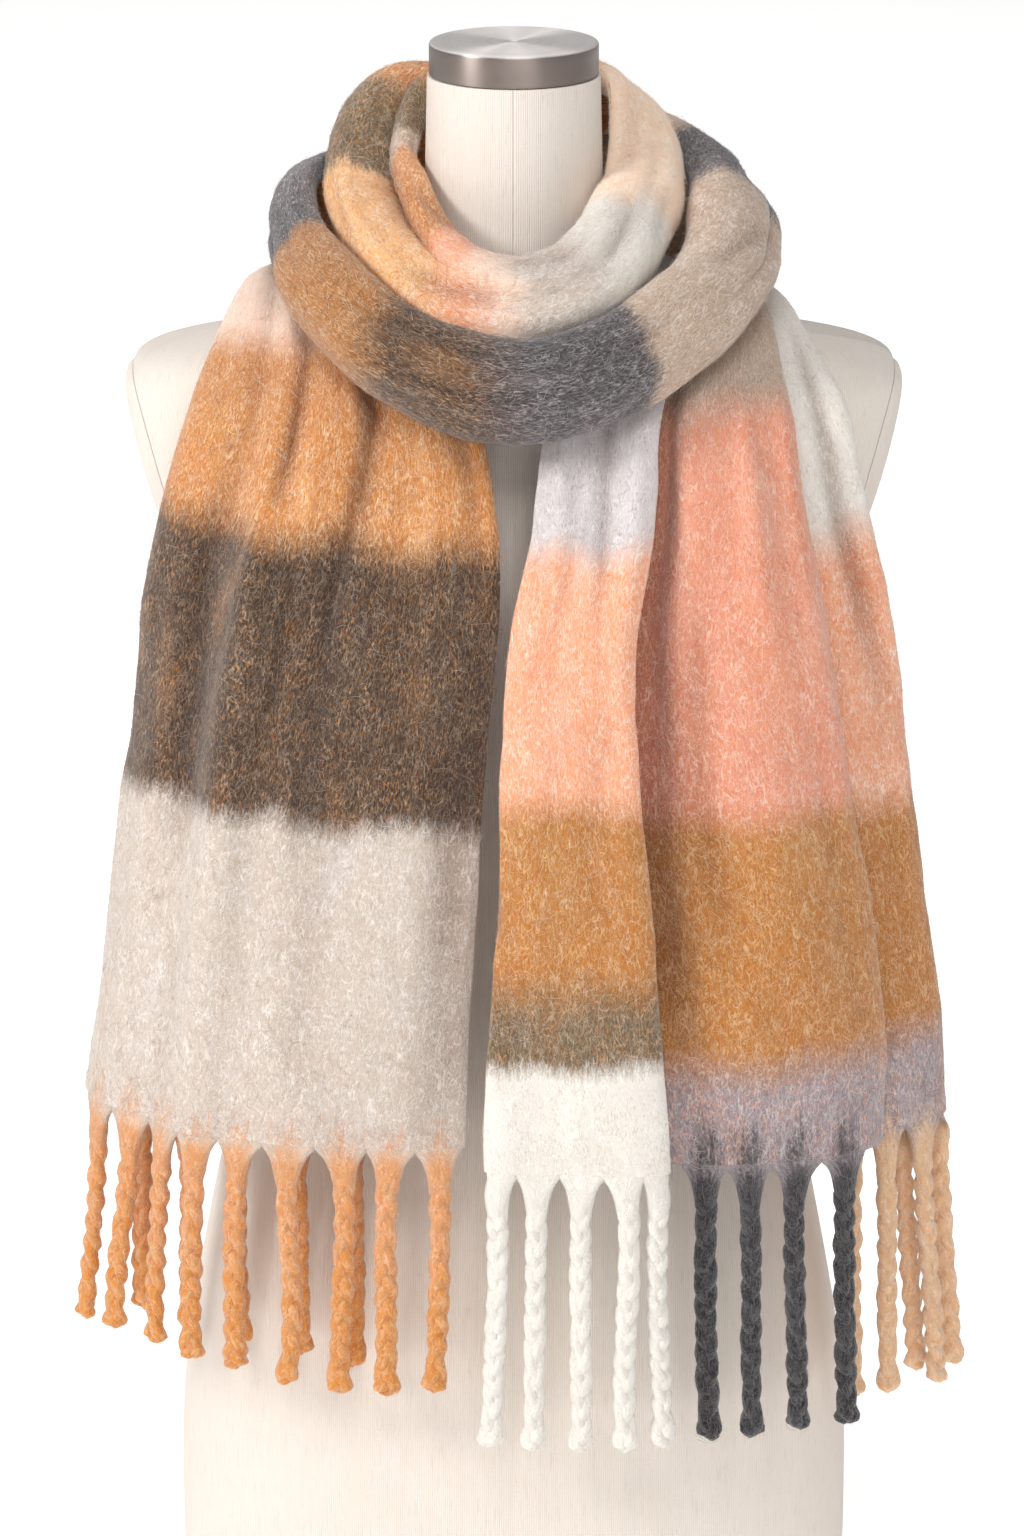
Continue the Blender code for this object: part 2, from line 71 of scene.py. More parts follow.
# The rounded edge at an arm plate's seam: where it is cut, its width and how far it drops.
EDGE_CUTS = (-3.5, -2.0, -0.8, 0.0)
EDGE_WIDTH = 3.6
EDGE_DROP = 1.5
STITCH_LENGTH = 2.6
# Along a stitch: share of its length, radius and rise.
STITCH_RINGS = ((0.0, 0.12, -0.4), (0.25, 0.36, 0.15), (0.75, 0.36, 0.15), (1.0, 0.12, -0.4))

# Levels of the form: height, half-width, reach to the front and to the back, squareness.
FORM_SECTIONS = [
    (0, 186, 112, 112, 2.3),
    (30, 188, 114, 114, 2.3),
    (120, 186, 114, 116, 2.3),
    (220, 170, 111, 114, 2.2),
    (310, 150, 103, 104, 2.2),
    (400, 132, 92, 86, 2.2),
    (480, 138, 98, 88, 2.2),
    (540, 153, 109, 93, 2.3),
    (566, 164, 113, 95, 2.4),
    (600, 187, 114, 97, 2.35),
    (645, 203, 106, 97, 2.4),
    (688, 212, 91, 92, 2.5),
    (703, 209, 86, 88, 2.5),
    (712, 198, 80, 84, 2.4),
    (718, 168, 75, 78, 2.3),
    (723, 128, 70, 73, 2.2),
    (729, 92, 64, 67, 2.2),
    (738, 70, 58, 60, 2.1),
    (752, 57, 53, 53, 2.0),
    (772, 51, 50, 49.5, 2.0),
    (805, 48.5, 48, 48, 2.0),
    (NECK_TOP, 47, 47, 47, 2.0),
]

# ------------------------------------------------------------------ shapes of the scarf
# Stations round a turn: their middle (x, y, z), how far the section reaches up, down and
# out from it, its lean in degrees and the depth of the fold along the roll.
INNER_TURN = [
    (73, -8, 799, 26, 18, 16, 54, 0),
    (65, 37, 832, 29, 17, 12, 38, 0),
    (4, 67, 838, 26, 28, 12, 24, 0),
    (-60, 54, 840, 27, 27, 17, 78, 14),
    (-81, 10, 808, 32, 21, 18, 62, 26),
    (-74, -34, 788, 36, 22, 19, 50, 28),
    (-54, -68, 770, 33, 22, 20, 40, 18),
    (-28, -92, 757, 30, 25, 21, 30, 4),
    (2, -98, 754, 28, 26, 22, 26, 0),
    (31, -92, 761, 28, 25, 22, 32, 0),
    (53, -71, 775, 28, 23, 20, 42, 0),
    (66, -41, 787, 27, 19, 18, 52, 0),
]
INNER_ARC = (-96, 144)
INNER_CREASE_AT = 24
INNER_START = 2
OUTER_TURN = [
    (119, -24, 769, 35, 22, 27, 36, 8),
    (116, 20, 783, 34, 29, 20, 32, 3),
    (98, 64, 786, 40, 42, 18, 20, 5),
    (50, 96, 778, 54, 56, 17, 10, 7),
    (-6, 105, 774, 54, 54, 17, 8, 8),
    (-62, 92, 772, 44, 46, 17, 8, 8),
    (-101, 56, 779, 30, 29, 16, 10, 7),
    (-117, 12, 781, 26, 21, 15, 10, 6),
    (-117, -24, 772, 23, 16, 14, 20, 5),
    (-105, -65, 758, 26, 20, 17, 25, 0),
    (-68, -111, 735, 27, 24, 17, 20, 0),
    (-30, -131, 722, 27, 27, 17, 16, 0),
    (4, -138, 718, 27, 27, 17, 15, 0),
    (45, -129, 725, 27, 27, 17, 19, 0),
    (83, -104, 742, 28, 26, 17, 28, 0),
    (111, -64, 757, 30, 21, 24, 38, 5),
]
OUTER_ARC = (-120, 132)
OUTER_CREASE_AT = -12
OUTER_START = 4
CREASE_WIDTH = 16.0
LIP = 0.6
TURN_POINTS = 45
# How deep a crease is where its painted shade is darkest.
DARKEST_SHADE_DEPTH = 6.5
# The heights between which an end's creases fade out on its way over the shoulder.
SHOULDER_FADE = (685, 735)

# Rows up a hanging end: its inner and its outer edge (x, y, z each), how far it bows out,
# its pitch in degrees, the size of a fold's edge, the share of the layers' depth and where
# the two folds lie as shares of the width.
LEFT_FALL = [
    (-28, -150, 298, -239, -50, 301, 40, 0, 20, 1.00, 0.33, 0.66),
    (-25, -150, 355, -230, -54, 363, 40, 0, 20, 1.00, 0.33, 0.66),
    (-20, -150, 440, -219, -60, 450, 38, 0, 20, 1.00, 0.33, 0.66),
    (-15, -151, 520, -208, -70, 530, 35, 0, 19, 1.00, 0.33, 0.66),
    (-9, -149, 590, -198, -84, 602, 30, 0, 18, 0.90, 0.33, 0.66),
    (-10, -138, 642, -186, -88, 654, 26, 0, 16, 0.75, 0.33, 0.66),
    (-18, -116, 690, -174, -84, 696, 18, 5, 14, 0.55, 0.33, 0.66),
    (-34, -94, 715, -165, -64, 717, 7, 22, 12, 0.44, 0.33, 0.66),
    (-54, -70, 733, -156, -37, 736, 5, 55, 10, 0.42, 0.33, 0.66),
    (-64, -38, 747, -149, -12, 746, 5, 80, 8, 0.42, 0.33, 0.66),
    (-66, -4, 752, -143, 10, 749, 5, 92, 7, 0.44, 0.33, 0.66),
    (-66, 25, 752, -128, 29, 747, 4, 105, 6, 0.42, 0.33, 0.66),
    (-62, 44, 754, -106, 44, 746, 3, 115, 4.5, 0.40, 0.33, 0.66),
]
RIGHT_FALL = [
    (-15, -155, 287, 248, -50, 283, 45, 0, 22, 1.00, 0.325, 0.79),
    (-13, -155, 350, 244, -54, 350, 45, 0, 22, 1.00, 0.31, 0.80),
    (-8, -155, 430, 231, -62, 432, 44, 0, 22, 1.00, 0.29, 0.79),
    (-5, -155, 510, 220, -72, 512, 40, 0, 22, 1.00, 0.27, 0.77),
    (-1, -152, 585, 206, -88, 590, 32, 0, 21, 0.80, 0.28, 0.77),
    (11, -140, 643, 191, -92, 646, 26, 0, 19, 0.62, 0.31, 0.77),
    (17, -119, 689, 179, -88, 694, 17, 5, 16, 0.42, 0.34, 0.78),
    (32, -99, 716, 168, -68, 716, 10, 22, 14, 0.34, 0.36, 0.79),
    (52, -70, 735, 158, -40, 730, 8, 55, 12, 0.31, 0.38, 0.80),
    (61, -38, 749, 151, -12, 738, 7, 80, 11, 0.30, 0.38, 0.80),
    (65, -4, 752, 143, 10, 742, 6, 92, 10, 0.30, 0.38, 0.80),
    (65, 24, 752, 131, 28, 744, 5, 105, 8, 0.28, 0.38, 0.80),
    (60, 40, 754, 108, 40, 744, 3, 112, 7, 0.24, 0.38, 0.80),
]
BELLY_SKEW = 1.15
# Points across an end: the two edges they lie between (0 and 3 are the end's own, 1 and 2
# its folds), the share of the way, how many fold sizes further out, and the depth at the
# hem and at the top.
LEFT_ACROSS = [
    (0, 1, 0.02, 0.0, 7, 6),
    (0, 1, 0.08, 0.0, 2, 1),
    (0, 1, 0.36, 0.0, -1, -3),
    (0, 1, 0.80, 0.0, 2, 3),
    (1, 2, 0.22, 0.0, 0, -6),
    (1, 2, 0.58, 0.0, 3, 4),
    (1, 2, 0.92, 0.0, -5, -5),
    (2, 3, 0.28, 0.0, 3, 5),
    (2, 3, 0.62, 0.0, -2, -4),
    (2, 3, 0.90, 0.0, 1, 0),
    (3, 3, 0.00, 0.0, 7, 6),
    (3, 3, 0.00, -0.4, 15, 15),
    (3, 3, 0.00, -1.4, 21, 25),
    (3, 3, 0.00, -3.0, 22, 30),
    (3, 3, 0.00, -4.8, 23, 32),
    (3, 3, 0.00, -6.8, 24, 32),
    (3, 3, 0.00, -8.6, 22, 28),
    (3, 3, 0.00, -10.2, 20, 24),
]
RIGHT_ACROSS = [
    (0, 1, 0.04, 0.0, 8, 8),
    (0, 1, 0.02, 0.0, 3, 3),
    (0, 1, 0.14, 0.0, -1, -1),
    (0, 1, 0.42, 0.0, 1, 2),
    (0, 1, 0.72, 0.0, -2, -3),
    (0, 1, 0.94, 0.0, 0, 0),
    (1, 1, 0.00, 0.1, 5, 5),
    (1, 1, 0.00, -0.25, 11, 11),
    (1, 1, 0.00, -0.85, 14, 14),
    (1, 1, 0.00, -1.15, 20, 20),
    (1, 1, 0.00, -0.80, 25, 25),
    (1, 1, 0.00, 0.0, 24, 24),
    (1, 2, 0.25, 0.0, 15, 15),
    (1, 2, 0.55, 0.0, 9, 9),
    (1, 2, 0.85, 0.0, 5, 4),
    (2, 2, 0.00, 0.0, 8, 8),
    (2, 2, 0.00, 0.15, 13, 13),
    (2, 2, 0.00, -0.25, 19, 19),
    (2, 2, 0.00, -0.80, 22, 22),
    (2, 2, 0.00, -1.10, 28, 28),
    (2, 2, 0.00, -0.75, 34, 34),
    (2, 2, 0.00, 0.0, 32, 32),
    (2, 3, 0.50, 0.0, 20, 12),
    (2, 3, 0.88, 0.0, 15, 4),
    (3, 3, 0.00, 0.0, 20, 14),
    (3, 3, 0.00, -0.25, 28, 28),
    (3, 3, 0.00, -1.10, 34, 34),
    (3, 3, 0.00, -2.20, 37, 37),
]
# Fibres of each stretch's nap: long curly ones and short straight ones.
INNER_FIBRES = (3400, 4800)
OUTER_FIBRES = (4500, 6200)
END_FIBRES = (5600, 8800)
# The fold points of the right end where its second and third panels start.
RIGHT_PANELS = (10.5, 20.5)

# Creases pressed into the cloth: a line from one place to another, its half-width and how
# far it stands out (in, where negative). On an end a place is a point across and the
# millimetres above the hem. On a turn it is a station and an angle of the section.
# A crease that presses in is also painted darker along its line, as shade.
LEFT_CREASES = [
    (6.8, 540, 7.5, 290, 13, -3.0),
    (3.2, 475, 4.2, 300, 11, -8.0),
    (3.2, 455, 3.5, 400, 12, -5.0),
    (5.5, 485, 5.9, 350, 10, -7.5),
    (7.5, 360, 7.1, 140, 15, -5.0),
    (4.4, 470, 5.2, 330, 12, 4.4),
    (5.9, 330, 6.1, 60, 16, 4.4),
    (1.4, 270, 1.0, -20, 26, -4.5),
    (3.9, 565, 4.4, 400, 13, -3.0),
    (3.9, 590, 4.2, 440, 17, -5.0),
    (4.2, 350, 4.1, 160, 14, -5.0),
    (6.1, 350, 6.0, 230, 11, 4.4),
    (5.4, 345, 5.3, 215, 10, -3.6),
    (5.2, 500, 6.4, 370, 6, 2.6),
    (8.7, 500, 8.8, 240, 12, 3.6),
    (1.5, 480, 1.2, 290, 8, -2.8),
    (0.9, 330, 1.3, 120, 12, -2.4),
    (4.0, 190, 3.7, 20, 18, -2.6),
    (2.6, 230, 2.9, 50, 20, 2.4),
    (7.9, 180, 8.3, 20, 14, 2.2),
    (6.6, 130, 6.9, 14, 13, -2.0),
    (14.2, 330, 13.6, 60, 14, 2.4),
    (16.0, 260, 16.4, 40, 12, -2.0),
]
RIGHT_CREASES = [
    (2.0, 500, 2.4, 320, 8, 3.4),
    (3.2, 510, 3.8, 300, 9, -4.2),
    (4.6, 500, 4.7, 250, 8, 3.0),
    (4.0, 300, 3.6, 110, 16, -2.6),
    (2.4, 310, 2.6, 70, 18, 2.4),
    (1.4, 220, 1.8, 30, 12, -2.0),
    (3.2, 130, 3.4, 14, 15, 2.0),
    (11.4, 545, 11.5, 200, 13, -7.5),
    (11.7, 620, 12.0, 440, 20, -4.0),
    (11.35, 420, 11.4, 40, 15, -7.0),
    (22.6, 430, 22.9, -20, 30, -3.2),
    (13.3, 520, 13.4, 280, 10, 4.6),
    (12.3, 330, 12.2, 110, 12, -3.8),
    (13.3, 300, 13.2, 70, 17, 3.0),
    (14.5, 470, 14.5, 180, 8, 3.2),
    (14.0, 250, 14.1, 30, 10, -2.6),
    (12.6, 120, 12.4, 14, 13, 2.0),
    (22.1, 500, 22.2, 270, 10, -4.4),
    (23.0, 480, 23.2, 240, 9, 3.4),
    (22.6, 240, 22.8, 30, 11, 2.4),
]
INNER_CREASES = [
    (5.2, 60, 6.6, 86, 6, -3.4),
    (6.2, -14, 7.9, 12, 10, -2.8),
    (7.6, 66, 9.2, 42, 8, -3.2),
    (8.2, -22, 9.8, -44, 9, 2.2),
    (9.4, 14, 10.9, 34, 8, -3.0),
    (10.2, -34, 11.6, -10, 7, -2.2),
    (4.2, -26, 5.4, -44, 7, -2.4),
    (3.2, 70, 4.6, 92, 6, -2.2),
    (11.4, 62, 13.0, 40, 7, -2.6),
    (1.4, 12, 2.7, -12, 8, -2.0),
]
OUTER_CREASES = [
    (9.6, 28, 11.0, 44, 8, -2.8),
    (10.4, -30, 12.2, -44, 9, -2.4),
    (12.4, 30, 13.9, 12, 9, -3.0),
    (13.0, -52, 14.4, -34, 8, -2.4),
    (14.6, 34, 15.8, 8, 7, -3.6),
    (15.2, -30, 16.6, -10, 8, -3.8),
    (15.6, 66, 17.0, 50, 8, 2.4),
    (0.6, 20, 1.9, -8, 7, -2.8),
    (2.2, 40, 3.8, 20, 9, -3.0),
    (3.4, -38, 5.2, -20, 10, 2.4),
    (4.6, 30, 6.2, 48, 9, -2.6),
    (6.4, -26, 7.6, -4, 6, -2.2),
    (8.0, 36, 9.0, 14, 5, -1.8),
]

# ------------------------------------------------------------------ colours of the cloth
# Bands along each panel of cloth: where a band starts, the yarn it is woven in and how
# far the two yarns run into each other there.
LEFT_BANDS = [
    [(0, "cream"), (184, "umber", 15), (342, "camel", 22), (452, "blush", 24)],
]
RIGHT_BANDS = [
    [(0, "white"), (61, "olive", 12), (106, "ochre", 30), (211, "peach", 20), (352, "pearl", 18)],
    # The second panel's top band is beige, a darker yarn set as painted shade under the turn.
    [(0, "lilac"), (55, "ochre", 28), (200, "salmon", 22), (424, "beige", 26)],
    [(0, "lilac"), (51, "ochre", 24), (191, "peach", 20), (346, "white", 30)],
]
# Bands round each turn, by station from its start at the back.
INNER_BANDS = [
    # The olive band near the back of each panel is a dark yarn set as painted shade inside the
    # loop.
    [(2.0, "camel"), (3.2, "olive", 14), (4.2, "honey", 8), (6.8, "peach", 24),
     (7.5, "blush", 18), (8.0, "cream", 14), (9.3, "white", 24), (10.9, "tan", 18),
     (13.3, "camel", 20)],
    [(2.0, "camel"), (3.0, "olive", 14), (3.8, "beige", 8), (4.25, "camel", 12),
     (6.4, "peach", 18), (7.3, "blush", 16), (7.9, "cream", 14), (9.3, "white", 24),
     (10.6, "tan", 18), (13.3, "camel", 20)],
]
OUTER_BANDS = [
    [(4.0, "camel"), (6.1, "slate", 16), (8.5, "bronze", 12), (10.0, "umber", 26),
     (11.7, "slate", 30), (13.5, "beige", 9), (16.5, "slate", 14), (17.8, "beige", 14),
     (19.2, "camel", 20)],
]
# Distance from rib to rib of the twill, in metres.
TWILL_STEP = 0.0019
# The yarn whose flecks show among the threads of another.
FLECKS = {
    "cream": "pearl", "umber": "bronze", "camel": "honey", "blush": "cream",
    "white": "cream", "olive": "ochre", "ochre": "camel", "peach": "blush",
    "salmon": "peach", "lilac": "peach", "tan": "blush", "slate": "lilac", "bronze": "camel",
    "honey": "camel", "beige": "cream", "pearl": "lilac",
}

# ------------------------------------------------------------------ the stage
# The floor and the camera, in metres and degrees, and the camera's lens in millimetres.
FLOOR_REACH = 9
CAMERA_PLACE = (-0.001, -4.0, 1.6286)
CAMERA_DIP = 16.135
SENSOR = (16, 24)
LENS = 117.21875

# ------------------------------------------------------------------ tassels
# A root's place along the hem from its inner edge, how far the tip hangs from below its
# root (x, y), and the length.
TASSEL_COLUMNS = ("along", "drift_x", "drift_y", "length")
TASSEL_RINGS = 64
PLY_SIDES = 9
ROOT_SIDES = 16
FUZZ_PER_TASSEL = 290
# Reach down a tassel over which the cloth's yarn gives way to its own.
YARN_CHANGE = (-20, 22)
# Where the tassels' plies and their loose fibres lie in the atlas.
PLY_REGION = (0, 0, 1, 0.55)
FUZZ_REGION = (0, 0.56, 1, 1)
# The flared root of a tassel: drop below the hem, half-depth and share of the width.
ROOT_LEVELS = [
    (-6.0, 0.8, 0.96), (-2.0, 1.28, 1), (0.8, 1.5, 1), (3.0, 1.8, 1), (5.5, 2.4, 1),
    (9.0, 3.3, 1), (13.0, 4.2, 1), (18.0, 4.8, 0.98), (24.0, 4.4, 0.88), (31.0, 2.6, 0.5),
]
LEFT_TASSELS = [
    (15, -3, 1, 142),
    (42, -3, 0, 144),
    (68, -3, 0, 143),
    (98, -2, 0, 139),
    (127, -3, 0, 135),
    (151, -4, 0, 131),
    (178, -6, -2, 128),
    (206, -11, -2, 127),
    (234, -10, -3, 128),
    (300, -1, 3, 126),
    (335, 1, 3, 128),
    (370, 2, 4, 130),
    (405, 2, 4, 132),
    (435, 2, 4, 136),
]
WHITE_TASSELS = [
    (10, -3, 0, 159),
    (33, -2, 0, 161),
    (57, 0, 0, 161),
    (81, 1, 0, 160),
    (100, 3, 0, 158),
]
GREY_TASSELS = [
    (203, 3, -2, 161),
    (226, 4, -1, 160),
    (253, 3, 0, 158),
    (284, 3, 0, 158),
]
TAN_TASSELS = [
    (372, 2, 0, 158),
    (392, 5, 0, 158),
    (418, 11, -2, 157),
    (450, 12, 3, 154),
    (474, 11, 4, 154),
]


def paint(red, green, blue):
    """A screen colour (0 to 255) as the linear colour that Blender mixes."""
    shares = np.array([red, green, blue]) / 255
    low = shares / 12.92
    high = ((shares + 0.055) / 1.055) ** 2.4
    return tuple(float(value) for value in np.where(shares <= 0.04045, low, high))


def colour_setting(name, description, red, green, blue):
    return bpy.props.FloatVectorProperty(
        name=name,
        description=description,
        default=paint(red, green, blue),
        size=3,
        min=0.0,
        max=1.0,
        subtype="COLOR",
    )


def power_setting(name, description, watts):
    return bpy.props.FloatProperty(
        name=name, description=description, default=watts, min=0.0, unit="POWER",
    )


def length_setting(name, description, millimetres):
    return bpy.props.FloatProperty(
        name=name,
        description=description,
        default=millimetres * MM,
        min=0.0,
        precision=5,
        subtype="DISTANCE",
        unit="LENGTH",
    )


class ScarfYarns(bpy.types.PropertyGroup):
    cream: colour_setting("Cream", "Off-white wool of the hanging ends", 201, 185, 171)
    umber: colour_setting("Umber", "Dark brown wool", 66, 46, 31)
    bronze: colour_setting("Bronze", "Golden flecks among the umber", 168, 112, 58)
    camel: colour_setting("Camel", "Golden brown wool", 198, 126, 61)
    honey: colour_setting("Honey", "Light golden wool of the inner turn", 244, 188, 126)
    blush: colour_setting("Blush", "Pink-white wool", 248, 214, 192)
    pearl: colour_setting("Pearl", "Cool white wool", 212, 204, 204)
    white: colour_setting("White", "White wool and tassels", 234, 229, 221)
    olive: colour_setting("Olive", "Grey-olive wool", 112, 92, 66)
    ochre: colour_setting("Ochre", "Mustard brown wool", 184, 118, 48)
    peach: colour_setting("Peach", "Peach wool", 236, 160, 118)
    salmon: colour_setting("Salmon", "Deep peach wool", 222, 144, 114)
    lilac: colour_setting("Lilac", "Cool grey wool", 152, 140, 145)
    tan: colour_setting("Tan", "Pale golden wool", 248, 218, 190)
    slate: colour_setting("Slate", "Dark grey wool", 68, 63, 64)
    beige: colour_setting("Beige", "Grey-beige wool", 188, 161, 139)
    orange: colour_setting("Orange yarn", "Upper part of the left tassels", 216, 144, 84)
    amber: colour_setting("Amber yarn", "Lower part of the left tassels", 212, 134, 54)
    smoke: colour_setting("Smoke yarn", "Yarn of the grey tassels", 50, 47, 50)
    sand: colour_setting("Sand yarn", "Yarn of the outer right tassels", 228, 180, 136)


class ScarfSizes(bpy.types.PropertyGroup):
    wall: length_setting("Cloth thickness", "Thickness of the wool without its nap", 3.0)
    cell: length_setting("Mesh step", "Size of the cloth's mesh squares", 5.0)
    nap_length: length_setting("Nap length", "Length of the longest fibres", 12.0)
    nap_height: length_setting("Nap height", "How far the nap lifts off the cloth", 1.5)
    nap_width: length_setting("Nap width", "Thickness of one wisp of fibres", 0.30)
    ply: length_setting("Tassel ply", "Radius of each of a tassel's three plies", 3.9)
    twist: length_setting(
        "Tassel twist", "Length over which a tassel's plies change places once round", 44.0
    )
    nap_share: bpy.props.FloatProperty(
        name="Nap amount",
        description="Share of the full number of fibres",
        default=1.0,
        min=0.0,
        max=1.0,
        subtype="FACTOR",
    )


class FormFinish(bpy.types.PropertyGroup):
    linen: colour_setting("Linen", "The form's cover", 238, 229, 220)
    thread: colour_setting("Stitch thread", "Stitches round the arm plates", 214, 202, 188)
    steel: colour_setting("Steel", "The spun neck cap", 232, 226, 223)
    rib: length_setting("Rib spacing", "Distance from rib to rib of the cover", 1.2)
    stitch: length_setting("Stitch spacing", "Distance from stitch to stitch", 5.0)


class StageLight(bpy.types.PropertyGroup):
    floor: colour_setting("Floor", "The pale floor", 250, 249, 248)
    key: power_setting("Key light", "Power of the soft light at the left", 100.0)
    fill: power_setting("Fill light", "Power of the soft light in front", 14.0)
    top: power_setting("Top light", "Power of the soft light overhead", 46.0)
    back: power_setting("Back light", "Power of the light on the floor behind", 60.0)
    sky: bpy.props.FloatProperty(
        name="Room light", description="Strength of the even light from all round",
        default=0.22, min=0.0,
    )


# ------------------------------------------------------------------ curves and grids
def rows_of(columns, table):
    """Each table row as a dict of its named columns."""
    return [dict(zip(columns, row)) for row in table]


def unit(vectors):
    return vectors / np.maximum(np.linalg.norm(vectors, axis=-1, keepdims=True), 1e-9)


def running(steps):
    """The distance from the first point to each point, from the steps between them."""
    return np.concatenate([[0], np.cumsum(steps)])


def reach_along(line):
    return running(np.linalg.norm(np.diff(line, axis=0), axis=1))


def turns_round(count):
    return np.linspace(0, 2 * math.pi, count, endpoint=False)


def circle_at(turns):
    return np.stack([np.cos(turns), np.sin(turns)], axis=-1)


def curve_at(points, places, closed=False):
    """A Catmull-Rom curve through points, read at places counted in points."""
    points = np.asarray(points, float)
    places = np.asarray(places, float)
    count = len(points)
    if closed:
        start = np.floor(places).astype(int)
        padded = points
        picks = [(start + offset) % count for offset in (-1, 0, 1, 2)]
    else:
        start = np.clip(np.floor(places).astype(int), 0, count - 2)
        padded = np.concatenate(
            [[2 * points[0] - points[1]], points, [2 * points[-1] - points[-2]]]
        )
        picks = [start + offset for offset in (0, 1, 2, 3)]
    before, first, second, after = (padded[pick] for pick in picks)
    share = (places - start).reshape((-1,) + (1,) * (points.ndim - 1))
    return 0.5 * (
        2 * first
        + (second - before) * share
        + (2 * before - 5 * first + 4 * second - after) * share**2
        + (3 * first - 3 * second + after - before) * share**3
    )


def even_places(line, places, step, turning):
    """Places along a line about step apart, closer where it turns."""
    parts = np.diff(line, axis=0)
    lengths = np.linalg.norm(parts, axis=1)
    ways = unit(parts)
    bends = np.arccos(np.clip(np.sum(ways[1:] * ways[:-1], axis=1), -1, 1))
    bends = np.concatenate([[0], bends])
    reach = running(lengths + turning * bends)
    count = max(3, int(round(reach[-1] / step)) + 1)
    return np.interp(np.linspace(0, reach[-1], count), reach, places)


def smooth_step(value, low, high):
    share = np.clip((value - low) / (high - low), 0, 1)
    return share * share * (3 - 2 * share)


class Cloth:
    """A stretch of cloth as a grid on its middle surface: rows along it, columns across.

    measure holds each point's place on the flat cloth (across, along) and panel which of
    the panels' bands it is woven in. tint is how much tassel yarn runs into it there and
    hollow how deep in a crease it lies, where its colour is painted darker as shade.
    """

    def __init__(self, middle, measure, panel, ringed, outward):
        self.middle = middle
        self.measure = measure
        self.panel = panel
        self.tint = np.zeros(panel.shape)
        self.hollow = np.zeros(panel.shape)
        self.ringed = ringed
        self.outward = outward
        self.settle()

    def settle(self):
        """Works out the ways along, across and out of the cloth at each point."""
        if self.ringed:
            along = (np.roll(self.middle, -1, axis=0) - np.roll(self.middle, 1, axis=0)) / 2
        else:
            along = np.gradient(self.middle, axis=0)
        across = np.gradient(self.middle, axis=1)
        self.step_along = np.maximum(np.linalg.norm(along, axis=-1), 0.2)
        self.step_across = np.maximum(np.linalg.norm(across, axis=-1), 0.2)
        self.along = unit(along)
        self.across = unit(across)
        self.out = unit(np.cross(along, across)) * self.outward

    def read(self, grid, rows, columns):
        """A grid's values between its points, where places off its edges read the edge."""
        count_rows, count_columns = self.panel.shape
        columns = np.clip(columns, 0, count_columns - 1)
        left = np.minimum(np.floor(columns).astype(int), count_columns - 2)
        if self.ringed:
            low = np.floor(rows).astype(int)
            share_row = rows - low
            low = low % count_rows
            high = (low + 1) % count_rows
        else:
            rows = np.clip(rows, 0, count_rows - 1)
            low = np.minimum(np.floor(rows).astype(int), count_rows - 2)
            share_row = rows - low
            high = low + 1
        share_column = columns - left
        if grid.ndim == 3:
            share_row = share_row[..., None]
            share_column = share_column[..., None]
        bottom = grid[low, left] * (1 - share_column) + grid[low, left + 1] * share_column
        top = grid[high, left] * (1 - share_column) + grid[high, left + 1] * share_column
        return bottom * (1 - share_row) + top * share_row

    def press(self, creases, seed):
        """Moves the cloth out along its creases and a little everywhere else."""
        across = self.measure[..., 0]
        along = self.measure[..., 1]
        moved = np.zeros(across.shape)
        for start, end, width, depth in creases:
            way = np.subtract(end, start)
            length = max(np.linalg.norm(way), 1e-6)
            way = way / length
            side = (across - start[0]) * way[1] - (along - start[1]) * way[0]
            reach = ((across - start[0]) * way[0] + (along - start[1]) * way[1]) / length
            fade = smooth_step(reach, -0.15, 0.3) * (1 - smooth_step(reach, 0.7, 1.15))
            bend = side + 0.10 * length * (reach - 0.5) ** 2
            moved = moved + depth * np.exp(-((bend / width) ** 2)) * fade
        # Cloth that a crease presses in is painted darker there, as shade.
        self.hollow = np.clip(self.hollow - moved / DARKEST_SHADE_DEPTH, 0, 1)
        moved = moved + soft_waves(across, along, seed)
        if not self.ringed:
            moved = moved * (1 - smooth_step(self.middle[..., 2], *SHOULDER_FADE))
        self.middle = self.middle + self.out * moved[..., None]
        self.settle()


def soft_waves(across, along, seed):
    """Small uneven rises and hollows, a few centimetres apart."""
    random = np.random.default_rng(seed)
    moved = np.zeros(across.shape)
    for size, height in ((90, 0.55), (52, 0.4), (30, 0.28), (17, 0.16)):
        for _ in range(3):
            turn = random.uniform(0, 2 * math.pi)
            phase = random.uniform(0, 2 * math.pi)
            place = across * math.cos(turn) + 0.6 * along * math.sin(turn)
            moved += height * 0.6 * np.sin(2 * math.pi * place / size + phase)
    return moved


